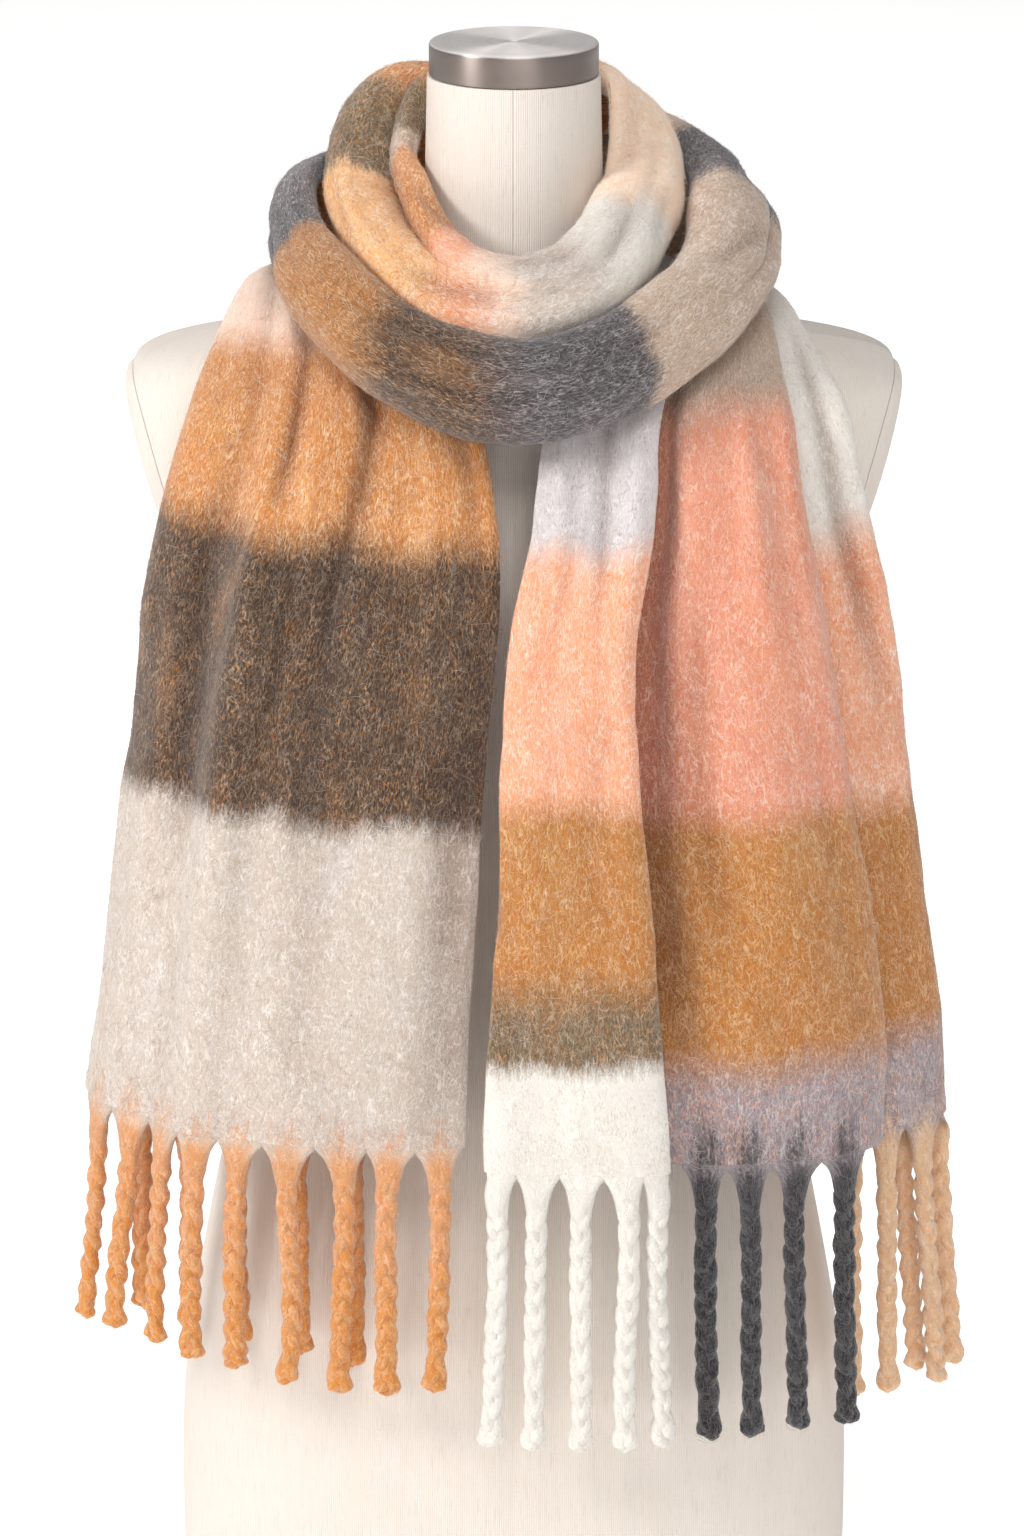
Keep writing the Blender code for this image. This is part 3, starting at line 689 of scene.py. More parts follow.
# ------------------------------------------------------------------ the cloth's grids
def turn_cloth(table, arc, crease_at, first, step, creases, seed):
    """One turn round the neck: an arc of an oval, swept round its stations."""
    count = len(table)
    dense = np.linspace(first, first + count, 20 * count + 1)
    line = curve_at(table, dense, closed=True)[:, :3]
    lengths = reach_along(line)
    rows = int(round(lengths[-1] / step))
    reach = np.arange(rows) * lengths[-1] / rows
    places = np.interp(reach, lengths, dense)
    stations = curve_at(table, places, closed=True)
    x, y, z, up, down, depth, lean, crease = stations.T[..., None]
    ways = unit(np.roll(stations[:, :2], -1, axis=0) - np.roll(stations[:, :2], 1, axis=0))
    lean = np.radians(lean)
    outward = np.stack([ways[:, 1], -ways[:, 0], np.zeros(rows)], axis=1)
    upward = np.array([0.0, 0.0, 1.0])
    face = np.cos(lean) * outward + np.sin(lean) * upward
    rise = np.cos(lean) * upward - np.sin(lean) * outward
    angles = np.linspace(*arc, TURN_POINTS)
    turned = np.radians(angles)
    heights = np.where(angles > 0, up, down)
    near_crease = np.exp(-np.abs(angles - crease_at) / CREASE_WIDTH)
    bulge = np.cos(turned) * np.where(np.abs(angles) < 90, 1.0, LIP)
    out_by = depth * bulge - crease * near_crease
    up_by = heights * np.sin(turned)
    middle = np.stack([x, y, z], axis=-1) + out_by[..., None] * face[:, None]
    middle = middle + up_by[..., None] * rise[:, None]
    across = running(np.linalg.norm(np.diff(middle, axis=1), axis=-1).mean(axis=0))
    measure = np.stack(np.broadcast_arrays(across[None, :], reach[:, None]), axis=-1)
    panel = np.broadcast_to(smooth_step(angles, crease_at - 4, crease_at + 6), heights.shape)
    cloth = Cloth(middle, measure, panel.copy(), True, 1)
    cloth.length = lengths[-1]
    # Painted shade along the fold of the roll, darker where the fold is deeper.
    fold_shade = np.exp(-np.abs(angles - crease_at - 3) / 11.0)
    cloth.hollow = np.clip(crease * fold_shade / 22, 0, 1) ** 1.5
    cloth.reach_of = lambda station: np.interp(station, dense, lengths)
    lines = []
    for start, angle, end, end_angle, width, rise_by in creases:
        start, end = ((spot if spot >= first else spot + count) for spot in (start, end))
        lines.append((
            (np.interp(angle, angles, across), cloth.reach_of(start)),
            (np.interp(end_angle, angles, across), cloth.reach_of(end)),
            width, rise_by,
        ))
    cloth.press(lines, seed)
    return cloth


def fall_points(rows, across, hem_shares):
    """The control points across each row of a hanging end, at its across table's places."""
    inner = rows[:, 0:3]
    outer = rows[:, 3:6]
    bow, pitch, fold, layer, a_edge, b_edge = (rows[:, column, None] for column in range(6, 12))
    way = unit(outer - inner)
    pitch = np.radians(pitch)
    back = np.concatenate([np.zeros_like(pitch), np.cos(pitch), -np.sin(pitch)], axis=1)
    back = unit(back - np.sum(back * way, axis=1, keepdims=True) * way)
    width = np.linalg.norm(outer - inner, axis=1)[:, None]
    edges = np.concatenate([0 * width, a_edge * width, b_edge * width, width], axis=1)
    table = np.array(across, float)
    start = edges[:, table[:, 0].astype(int)]
    end = edges[:, table[:, 1].astype(int)]
    reach = start + (end - start) * table[:, 2] + table[:, 3] * fold
    belly = bow * np.sin(math.pi * np.clip(reach / width, 0, 1) ** BELLY_SKEW)
    hem = hem_shares[:, None]
    depth = (table[:, 4] * hem + table[:, 5] * (1 - hem)) * layer - belly
    return inner[:, None] + way[:, None] * reach[..., None] + back[:, None] * depth[..., None]


def fall_cloth(table, across, step, panels, outward, creases, seed):
    """One hanging end, from its hem up over the shoulder."""
    last = len(table) - 1
    dense = np.linspace(0, last, 400)
    middle_line = curve_at(table, dense)
    middle_line = (middle_line[:, 0:3] + middle_line[:, 3:6]) / 2
    row_places = even_places(middle_line, dense, step, 3.0)
    close = np.interp([0, 0.4, 1.5], [0, step], row_places[:2])
    row_places = np.concatenate([close, row_places[1:]])
    rows = curve_at(table, row_places)
    controls = fall_points(rows, across, 1 - row_places / last)
    dense_across = np.linspace(0, len(across) - 1, 600)
    hem = curve_at(controls[0], dense_across)
    column_places = even_places(hem, dense_across, step, 9.0)
    middle = curve_at(controls.transpose(1, 0, 2), column_places).transpose(1, 0, 2)
    across_by = reach_along(middle[0])
    along_by = running(np.linalg.norm(np.diff(middle, axis=0), axis=-1).mean(axis=1))
    measure = np.stack(np.broadcast_arrays(across_by[None, :], along_by[:, None]), axis=-1)
    panel = np.zeros(len(column_places))
    for edge in panels:
        panel += smooth_step(column_places, edge - 0.4, edge + 0.4)
    panel = np.broadcast_to(panel, middle.shape[:2]).copy()
    cloth = Cloth(middle, measure, panel, False, outward)
    cloth.length = along_by[-1]
    lines = []
    for start, low, end, high, width, rise_by in creases:
        lines.append((
            (np.interp(start, column_places, across_by), low),
            (np.interp(end, column_places, across_by), high),
            width, rise_by,
        ))
    cloth.press(lines, seed)
    return cloth


# ------------------------------------------------------------------ meshes from arrays
class Gather:
    """Collects points and faces of one mesh with their maps and values."""

    def __init__(self):
        self.points = []
        self.faces = []
        self.atlas = []
        self.flat = []
        self.smooth = []
        self.values = {"tone": [], "tint": [], "panel": [], "hollow": []}
        self.count = 0

    def add(self, points, faces, flat, atlas, smooth=True, **values):
        """faces index points. flat and atlas give each face's corners on the two maps."""
        points = np.asarray(points, float).reshape(-1, 3)
        self.points.append(points)
        self.faces.append(np.asarray(faces) + self.count)
        self.flat.append(flat)
        self.atlas.append(atlas)
        self.smooth.append(np.full(len(faces), smooth))
        for name, found in self.values.items():
            found.append(np.broadcast_to(values.get(name, 0.0), (len(points),)))
        self.count += len(points)

    def add_faces(self, points, faces, flat, atlas, smooth=True):
        """More faces on the points that were added last."""
        self.smooth.append(np.full(len(faces), smooth))
        self.faces.append(np.asarray(faces) + self.count - len(points.reshape(-1, 3)))
        self.flat.append(flat)
        self.atlas.append(atlas)

    def make(self, name, finish):
        """The mesh as an object in metres."""
        points = np.concatenate(self.points) * MM
        corners = np.concatenate([faces.ravel() for faces in self.faces])
        sizes = np.concatenate([np.full(len(f), f.shape[1]) for f in self.faces])
        starts = np.concatenate([[0], np.cumsum(sizes)[:-1]])
        mesh = bpy.data.meshes.new(name)
        mesh.vertices.add(len(points))
        mesh.vertices.foreach_set("co", points.ravel())
        mesh.loops.add(len(corners))
        mesh.loops.foreach_set("vertex_index", corners.astype(np.int32))
        mesh.polygons.add(len(sizes))
        mesh.polygons.foreach_set("loop_start", starts.astype(np.int32))
        mesh.update(calc_edges=True)
        for layer, maps, scale in (("cloth", self.flat, MM), ("OFBake", self.atlas, 1.0)):
            places = np.concatenate([np.asarray(part, float).reshape(-1, 2) for part in maps])
            mesh.uv_layers.new(name=layer).data.foreach_set("uv", (places * scale).ravel())
        for value_name, parts in self.values.items():
            values = np.concatenate(parts)
            mesh.attributes.new(value_name, "FLOAT", "POINT").data.foreach_set("value", values)
        mesh.polygons.foreach_set("use_smooth", np.concatenate(self.smooth))
        mesh.validate()
        mesh.materials.append(finish)
        made = bpy.data.objects.new(name, mesh)
        bpy.context.scene.collection.objects.link(made)
        return made


def grid_corners(rows, columns):
    """The four (row, column) corners of each square of a grid."""
    row, column = np.meshgrid(np.arange(rows - 1), np.arange(columns - 1), indexing="ij")
    corners = [(row, column), (row, column + 1), (row + 1, column + 1), (row + 1, column)]
    return np.stack([np.stack(corner, axis=-1) for corner in corners], axis=2).reshape(-1, 4, 2)


def flipped(*grids):
    """The same corners of faces, the other way round."""
    return [grid[:, ::-1] for grid in grids]


def cell_places(index, count, region):
    """Lower corner and size of a square cell, one of count in a region of the atlas."""
    left, bottom, right, top = region
    across = math.ceil(math.sqrt(count * (right - left) / (top - bottom)))
    down = math.ceil(count / across)
    size = np.array([(right - left) / across, (top - bottom) / down])
    corner = np.stack([index % across, index // across], axis=-1) * size + (left, bottom)
    return corner, size


def wall_mesh(name, cloth, finish, thickness):
    """The cloth as a wall with rounded rims."""
    half = np.full(cloth.panel.shape[0], thickness / 2)
    if not cloth.ringed:
        half[:1] *= 0.88
        half[-1:] *= 0.3
    out = cloth.out * half[:, None, None]

    def rim(edge, sign):
        """Three points in an arc round one edge, at each row."""
        wide = sign * cloth.across[:, edge] * half[:, None]
        turns = np.radians((60, 0, -60))
        return np.stack([
            cloth.middle[:, edge] + wide * math.cos(turn) + sign * out[:, edge] * math.sin(turn)
            for turn in turns
        ], axis=1)

    ring = np.concatenate([
        cloth.middle + out, rim(-1, 1), (cloth.middle - out)[:, ::-1], rim(0, -1),
    ], axis=1)
    columns = cloth.panel.shape[1]
    picks = [*range(columns), *[columns - 1] * 3, *range(columns - 1, -1, -1), *[0] * 3]
    rows, around = ring.shape[:2]
    wrapped = rows + 1 if cloth.ringed else rows
    measure = cloth.measure[:, picks]
    if cloth.ringed:
        closing = measure[:1] + (0, cloth.length)
        measure = np.concatenate([measure, closing])
    measure = np.concatenate([measure, measure[:, :1]], axis=1)
    corners = grid_corners(wrapped, around + 1)
    row, column = corners[..., 0], corners[..., 1]
    faces = (row % rows) * around + column % around
    if cloth.outward < 0:
        faces, row, column = flipped(faces, row, column)
    atlas = np.stack([0.005 + 0.99 * column / around, 0.005 + 0.94 * row / (wrapped - 1)], axis=-1)
    gather = Gather()
    gather.add(
        ring, faces, measure[row, column], atlas,
        tint=cloth.tint[:, picks].ravel(), panel=cloth.panel[:, picks].ravel(),
        hollow=cloth.hollow[:, picks].ravel(),
    )
    if not cloth.ringed:
        for end, order in ((0, -1), (rows - 1, 1)):
            first = np.arange(-3, columns + 2)
            second = first + 1
            opposite = columns + 2 + (columns - 1 - first)
            pair = opposite - 1
            cap = np.stack([first, second, pair, opposite], axis=1) % around + end * around
            share = (first + 3)[:, None] / (columns + 6)
            low = 0.96 if end == 0 else 0.98
            places = np.stack(np.broadcast_arrays(
                share + np.array([0, 1, 1, 0]) / (columns + 6),
                low + 0.015 * np.array([[0, 0, 1, 1]]),
            ), axis=-1)
            flat = measure[end][cap - end * around]
            keep = np.array([len(set(face)) == 4 for face in cap])
            cap, places, flat = cap[keep], places[keep], flat[keep]
            if order * cloth.outward < 0:
                cap, places, flat = flipped(cap, places, flat)
            gather.add_faces(ring, cap, flat, places)
    return gather.make(name, finish)


def add_needles(gather, paths, sides, ups, widths, flat, region, **values):
    """Fine flattened fibres along paths whose last point is the tip."""
    count, places = paths.shape[:2]
    rings = places - 1
    turns = np.radians((90, 210, 330))
    shares = np.linspace(1.0, 0.6, rings)
    circle = np.cos(turns)[:, None] * sides[:, None]
    circle = circle + 0.45 * np.sin(turns)[:, None] * ups[:, None]
    spread = (widths[:, None] / 2 * shares)[:, :, None, None] * circle[:, None]
    body = paths[:, :rings, None] + spread
    points = np.concatenate([body.reshape(count, 3 * rings, 3), paths[:, rings:]], axis=1)
    each = points.shape[1]
    quads, quad_places = [], []
    for ring in range(rings - 1):
        low, high = (0.12 + 0.58 * (ring + step) / (rings - 1) for step in (0, 1))
        for side in range(3):
            after = (side + 1) % 3
            start = ring * 3
            quads.append((start + side, start + after, start + 3 + after, start + 3 + side))
            left, right = side / 3, (side + 1) / 3
            quad_places.append([(left, low), (right, low), (right, high), (left, high)])
    tips, tip_places = [(2, 1, 0)], [[(0.02, 0.01), (0.31, 0.01), (0.16, 0.1)]]
    for side in range(3):
        last = 3 * (rings - 1)
        tips.append((last + side, last + (side + 1) % 3, each - 1))
        tip_places.append([(side / 3, 0.70), ((side + 1) / 3, 0.70), ((side + 0.5) / 3, 0.98)])
    corner, size = cell_places(np.arange(count), count, region)
    values = {name: np.repeat(value, each) for name, value in values.items()}
    parts = []
    for picks, spots in ((quads, quad_places), (tips, tip_places)):
        picks = np.array(picks)
        faces = (np.arange(count)[:, None, None] * each + picks[None]).reshape(-1, picks.shape[1])
        atlas = corner[:, None, None] + (np.array(spots) * 0.9 + 0.05)[None] * size
        flats = np.broadcast_to(flat[:, None, None], atlas.shape)
        shape = (-1, picks.shape[1], 2)
        parts.append((faces, flats.reshape(shape), atlas.reshape(shape)))
    gather.add(points, *parts[0], **values, smooth=False)
    gather.add_faces(points, *parts[1], smooth=False)


def grow_nap(gather, cloth, sizes, counts, weight, tousled, seed):
    """Fibres brushed along the cloth's front, long curly ones over short straight ones.

    tousled is how far their headings stray from along the cloth.
    """
    random = np.random.default_rng(seed)
    rows, columns = cloth.panel.shape
    area = cloth.step_along * cloth.step_across * weight
    area = area[: rows if cloth.ringed else rows - 1, : columns - 1]
    chances = (area / area.sum()).ravel()
    longest = sizes.nap_length / MM
    kinds = (
        # shortest and longest as shares of the full length, spread of headings, bend,
        # points along a fibre, region of the atlas
        (0.45, 1.00, 0.75, 0.42, (0.0, 0.36, 0.70, 1.0), (0, 0, 1, 0.5)),
        (0.24, 0.50, 0.70, 0.28, (0.0, 0.55, 1.0), (0, 0.5, 1, 1)),
    )
    for count, (short, full, spread, curl, shares, region) in zip(counts, kinds):
        if not count:
            continue
        picked = random.choice(len(chances), size=count, p=chances)
        row = picked // area.shape[1] + random.random(count)
        column = picked % area.shape[1] + random.random(count)
        length = longest * random.uniform(short, full, count)
        heading = random.normal(0, spread * tousled, count)
        heading = heading + math.pi * (random.random(count) < 0.7)
        proud = random.random(count) < 0.15
        height = sizes.nap_height / MM * np.where(
            proud, random.uniform(1.1, 2.3, count), random.uniform(0.35, 1.0, count)
        )
        bend = random.normal(0, curl, count) * length
        wave = random.uniform(-0.10, 0.10, count) * length
        step_along = cloth.read(cloth.step_along, row, column)
        step_across = cloth.read(cloth.step_across, row, column)
        paths = np.empty((count, len(shares), 3))
        for index, share in enumerate(shares):
            forward = length * share
            sideways = bend * share**2 + wave * math.sin(2 * math.pi * share)
            run = forward * np.cos(heading) - sideways * np.sin(heading)
            over = forward * np.sin(heading) + sideways * np.cos(heading)
            at_row = row + run / step_along
            spare = 2.5 / step_across
            at_column = np.clip(column + over / step_across, -spare, columns - 1 + spare)
            lying = math.sin(math.pi * (0.06 + 0.80 * share)) - 0.35
            rise = height * np.where(proud, share**0.9 - 0.15, lying)
            point = cloth.read(cloth.middle, at_row, at_column)
            lift = sizes.wall / MM / 2 + rise
            point = point + cloth.read(cloth.out, at_row, at_column) * lift[:, None]
            past = at_column - np.clip(at_column, 0, columns - 1)
            point += cloth.read(cloth.across, at_row, at_column) * (past * step_across)[:, None]
            if not cloth.ringed:
                below = at_row - np.clip(at_row, 0, rows - 1)
                drop = (below * step_along)[:, None]
                point += cloth.read(cloth.along, at_row, at_column) * drop
            paths[:, index] = point
        ways = unit(paths[:, -1] - paths[:, 0])
        sides = unit(np.cross(ways, cloth.read(cloth.out, row, column)))
        ups = np.cross(sides, ways)
        widths = sizes.nap_width / MM * random.uniform(0.7, 1.15, count)
        tone = np.where(random.random(count) < 0.22, -0.2, random.beta(1.1, 1.5, count))
        flat, tint, panel, hollow = (
            cloth.read(grid, row, column)
            for grid in (cloth.measure, cloth.tint, cloth.panel, cloth.hollow)
        )
        add_needles(
            gather, paths, sides, ups, widths, flat, region,
            tone=tone, tint=tint, panel=panel, hollow=hollow,
        )


# ------------------------------------------------------------------ materials
class Recipe:
    """A material whose nodes are laid one after another."""

    def __init__(self, name):
        self.material = bpy.data.materials.new(name)
        self.material.use_nodes = True
        self.tree = self.material.node_tree
        self.shader = self.tree.nodes["Principled BSDF"]

    def node(self, kind, settings=None, **inputs):
        made = self.tree.nodes.new(kind)
        for key, value in (settings or {}).items():
            setattr(made, key, value)
        for key, value in inputs.items():
            self.feed(made.inputs[key], value)
        return made

    def feed(self, socket, value):
        if isinstance(value, bpy.types.NodeSocket):
            self.tree.links.new(value, socket)
        elif value is not None:
            socket.default_value = value

    def shade(self, **inputs):
        """Sets or links the shader's inputs, whose names are given with underscores."""
        for key, value in inputs.items():
            self.feed(self.shader.inputs[key.replace("_", " ")], value)

    def math(self, operation, *values):
        made = self.node("ShaderNodeMath", {"operation": operation})
        for socket, value in zip(made.inputs, values):
            self.feed(socket, value)
        return made.outputs[0]

    def place(self, name):
        return self.node("ShaderNodeUVMap", {"uv_map": name}).outputs["UV"]

    def value(self, name):
        return self.node("ShaderNodeAttribute", {"attribute_name": name}).outputs["Fac"]

    def stretch(self, place, scale, turn=0.0, shift=(0, 0, 0)):
        made = self.node("ShaderNodeMapping")
        self.feed(made.inputs["Vector"], place)
        made.inputs["Location"].default_value = shift
        made.inputs["Rotation"].default_value = (0, 0, turn)
        made.inputs["Scale"].default_value = scale
        return made.outputs["Vector"]

    def noise(self, place, scale=1.0, detail=2.0, roughness=0.5, distortion=0.0):
        made = self.node("ShaderNodeTexNoise")
        self.feed(made.inputs["Vector"], place)
        made.inputs["Scale"].default_value = scale
        made.inputs["Detail"].default_value = detail
        made.inputs["Roughness"].default_value = roughness
        made.inputs["Distortion"].default_value = distortion
        return made.outputs[0]

    def grain(self, place, across, along, detail, turn=0.0, roughness=0.5):
        """Noise that is drawn out along the cloth."""
        spot = self.stretch(place, (across, along, 1), turn)
        return self.noise(spot, detail=detail, roughness=roughness)

    def swing(self, value, middle, reach, onto):
        """Adds how far a value is from its middle, times reach."""
        return self.math("MULTIPLY_ADD", self.math("SUBTRACT", value, middle), reach, onto)

    def gamma(self, colour, power):
        made = self.node("ShaderNodeGamma", Color=colour)
        made.inputs["Gamma"].default_value = power
        return made.outputs[0]

    def paler(self, colour, power, light):
        """A paler colour: lifted, then mixed with the light one, less so where it is dark."""
        lightness = self.node("ShaderNodeRGBToBW", Color=colour).outputs[0]
        share = self.math("MULTIPLY_ADD", lightness, 0.55, 0.03)
        return self.mix(share, self.gamma(colour, power), light)

    def fit(self, value, low, high, to_low=0.0, to_high=1.0):
        made = self.node("ShaderNodeMapRange", {"interpolation_type": "SMOOTHSTEP"})
        for socket, number in zip(made.inputs, (value, low, high, to_low, to_high)):
            self.feed(socket, number)
        return made.outputs[0]

    def mix(self, share, first, second, blend="MIX"):
        made = self.node("ShaderNodeMix", {"data_type": "RGBA", "blend_type": blend})
        for index, value in ((0, share), (6, first), (7, second)):
            if not isinstance(value, (bpy.types.NodeSocket, float, int)):
                value = (*value, 1.0)
            self.feed(made.inputs[index], value)
        return made.outputs[2]

    def tinge(self, shown, other, value, low, high, most=1.0):
        """Mixes in another colour: none where value is low, most of it where it is high."""
        return self.mix(self.fit(value, low, high, 0.0, most), shown, other)

    def deepen(self, shown, power, value, low, high, most=1.0):
        """Mixes in the colour's own deeper shade, or a paler one where power is below 1."""
        return self.tinge(shown, self.gamma(shown, power), value, low, high, most)

    def ramp(self, share, stops):
        made = self.node("ShaderNodeValToRGB")
        self.feed(made.inputs[0], share)
        elements = made.color_ramp.elements
        while len(elements) < len(stops):
            elements.new(1.0)
        for element, (place, colour) in zip(elements, stops):
            element.position = place
            element.color = (*colour, 1.0)
        return made.outputs["Color"]

    def bump(self, height, distance, strength=1.0):
        made = self.node("ShaderNodeBump", Height=height, Distance=distance, Strength=strength)
        return made.outputs["Normal"]


def band_stops(bands, length, colour_of):
    """Ramp stops for bands along the cloth, each edge as soft as its band says."""
    stops = [(0.0, colour_of(bands[0][1]))]
    for before, (start, yarn, soft) in zip(bands, bands[1:]):
        stops.append(((start - soft / 2) / length, colour_of(before[1])))
        stops.append(((start + soft / 2) / length, colour_of(yarn)))
    return stops


def haze(recipe, place, colour, pale, lines):
    """Thin pale fibres that wander along the cloth, and their height."""
    raised = None
    for size, turn, width, strength in lines:
        spot = recipe.stretch(place, (size, size * 0.42, 1), turn, (size, 0, 0))
        hair = recipe.noise(spot, detail=1.5, distortion=1.1)
        line = recipe.math("ABSOLUTE", recipe.math("SUBTRACT", hair, 0.5))
        line = recipe.fit(line, width, 0.0, 0.0, strength)
        colour = recipe.mix(line, colour, pale)
        raised = line if raised is None else recipe.math("MAXIMUM", raised, line)
    return colour, raised


def wool(name, yarns, panels, length, tassels):
    """Brushed wool woven in bands: heathered threads under a haze of pale fibres.

    tassels holds the yarn that runs up into each panel from its edge.
    """
    recipe = Recipe(name)
    place = recipe.place("cloth")
    split = recipe.node("ShaderNodeSeparateXYZ", Vector=place)
    panel = recipe.value("panel")
    # Threads of one band reach into the next, each by its own length.
    broad = recipe.grain(place, 22, 9, 2.0)
    streak = recipe.grain(place, 330, 40, 1.0)
    fray = recipe.grain(place, 1100, 230, 1.0, turn=0.15)
    moved = split.outputs["Y"]
    for wander, reach in ((broad, 0.024), (streak, 0.011), (fray, 0.011)):
        moved = recipe.swing(wander, 0.5, reach, moved)
    share = recipe.math("DIVIDE", moved, length * MM)

    def in_panel(found, index, more):
        here = recipe.fit(panel, index - 0.65, index - 0.35)
        return recipe.mix(here, found, more)

    def banded(colour_of):
        found = recipe.ramp(share, band_stops(panels[0], length, colour_of))
        for index, bands in enumerate(panels[1:], 1):
            more = recipe.ramp(share, band_stops(bands, length, colour_of))
            found = in_panel(found, index, more)
        return found

    ground = banded(lambda yarn: tuple(getattr(yarns, yarn)))
    fleck = banded(lambda yarn: tuple(getattr(yarns, FLECKS[yarn])))
    # Heathered twill: fine ribs and flecks that lean across the cloth.
    twill = recipe.grain(place, 950, 300, 2.0, turn=0.65)
    mottle = recipe.grain(place, 120, 46, 3.0, roughness=0.6)
    cloud = recipe.grain(place, 26, 9, 2.0)
    leaning = recipe.math("ADD", split.outputs["X"], split.outputs["Y"])
    rib = recipe.math("SINE", recipe.math("MULTIPLY", leaning, 2 * math.pi / TWILL_STEP))
    patches = recipe.fit(mottle, 0.34, 0.66, 0.15, 1.0)
    among = recipe.math("MULTIPLY", recipe.fit(twill, 0.47, 0.66), patches)
    clouds = recipe.fit(cloud, 0.52, 0.72, 0.0, 0.28)
    among = recipe.math("ADD", recipe.math("MULTIPLY", among, 0.72), clouds)
    colour = recipe.mix(among, ground, fleck)
    colour = recipe.deepen(colour, 1.30, twill, 0.50, 0.28, 0.75)
    colour = recipe.deepen(colour, 1.22, rib, 0.2, 1.0, 0.30)
    yarn = tassels[0]
    for index, other in enumerate(tassels[1:], 1):
        yarn = in_panel(yarn, index, other)
    long_ends = recipe.math("MULTIPLY", streak, 0.8)
    wander = recipe.math("ADD", long_ends, recipe.math("MULTIPLY", fray, 0.7))
    ragged = recipe.swing(wander, 0.75, 1.3, recipe.value("tint"))
    colour = recipe.tinge(colour, yarn, ragged, 0.15, 0.85, 0.85)
    colour = recipe.deepen(colour, 0.80, cloud, 0.48, 0.26, 0.5)
    # Painted shade: the colour is darkened where the cloth lies in a crease or fold.
    hollow = recipe.fit(recipe.value("hollow"), 0.0, 1.0, 0.0, 0.8)
    colour = recipe.mix(hollow, colour, (0.46, 0.38, 0.34), "MULTIPLY")
    pale = recipe.paler(colour, 0.60, (0.95, 0.91, 0.86))
    colour, raised = haze(recipe, place, colour, pale, (
        (120, 0.6, 0.016, 0.75), (170, -0.7, 0.022, 0.70), (240, 1.3, 0.028, 0.60),
        (360, 0.1, 0.040, 0.50),
    ))
    tone = recipe.value("tone")
    palest = recipe.paler(pale, 0.85, (0.97, 0.93, 0.89))
    colour = recipe.tinge(colour, palest, tone, 0.0, 1.0, 0.90)
    colour = recipe.deepen(colour, 1.3, tone, 0.0, -0.4)
    height = recipe.math("ADD", raised, recipe.math("MULTIPLY", twill, 0.6))
    recipe.shade(
        Base_Color=colour,
        Roughness=recipe.fit(mottle, 0.2, 0.8, 0.84, 0.98),
        Normal=recipe.bump(height, 0.0005, 0.45),
        Sheen_Weight=0.32, Sheen_Roughness=0.6, Specular_IOR_Level=0.1,
    )
    return recipe.material


def tassel_yarn(name, colour, low, hem):
    """The soft yarn of a tassel's plies, in the hem's yarn above and the low one below."""
    recipe = Recipe(name)
    place = recipe.place("cloth")
    split = recipe.node("ShaderNodeSeparateXYZ", Vector=place)
    run = recipe.grain(place, 800, 170, 3.0, turn=0.35, roughness=0.6)
    strand = recipe.grain(place, 380, 60, 1.0, turn=0.3)
    clump = recipe.grain(place, 90, 60, 2.0)
    broad = recipe.grain(place, 13, 5, 1.0)
    down = recipe.swing(clump, 0.5, 0.08, split.outputs["Y"])
    down = recipe.swing(broad, 0.5, 0.22, down)
    shown = recipe.tinge(colour, low, down, 0.03, 0.10)
    ragged = recipe.swing(run, 0.5, 1.1, recipe.value("tint"))
    shown = recipe.tinge(hem, shown, ragged, 0.20, 0.80)
    light = recipe.paler(shown, 0.70, (0.95, 0.89, 0.82))
    shown = recipe.tinge(shown, light, run, 0.48, 0.72, 0.6)
    shown = recipe.deepen(shown, 1.25, run, 0.46, 0.26, 0.7)
    shown = recipe.tinge(shown, light, clump, 0.48, 0.75, 0.4)
    shown = recipe.deepen(shown, 1.25, strand, 0.45, 0.25, 0.7)
    # Painted shade in the grooves between the plies.
    shown = recipe.deepen(shown, 1.4, recipe.value("hollow"), 0.1, 1.0, 0.75)
    shown, raised = haze(recipe, place, shown, light, (
        (170, 0.5, 0.022, 0.55), (260, -0.6, 0.034, 0.60), (420, 0.9, 0.050, 0.50),
    ))
    tone = recipe.value("tone")
    pale = recipe.paler(light, 0.80, (0.98, 0.92, 0.85))
    shown = recipe.tinge(shown, pale, tone, 0.0, 1.0, 0.9)
    shown = recipe.deepen(shown, 1.3, tone, 0.0, -0.4)
    height = recipe.math("MULTIPLY", recipe.math("ADD", run, strand), 0.5)
    height = recipe.math("ADD", raised, height)
    recipe.shade(
        Base_Color=shown,
        Roughness=recipe.fit(clump, 0.2, 0.8, 0.84, 0.97),
        Normal=recipe.bump(height, 0.0009, 0.6),
        Sheen_Weight=0.45, Sheen_Roughness=0.5, Specular_IOR_Level=0.1,
    )
    return recipe.material


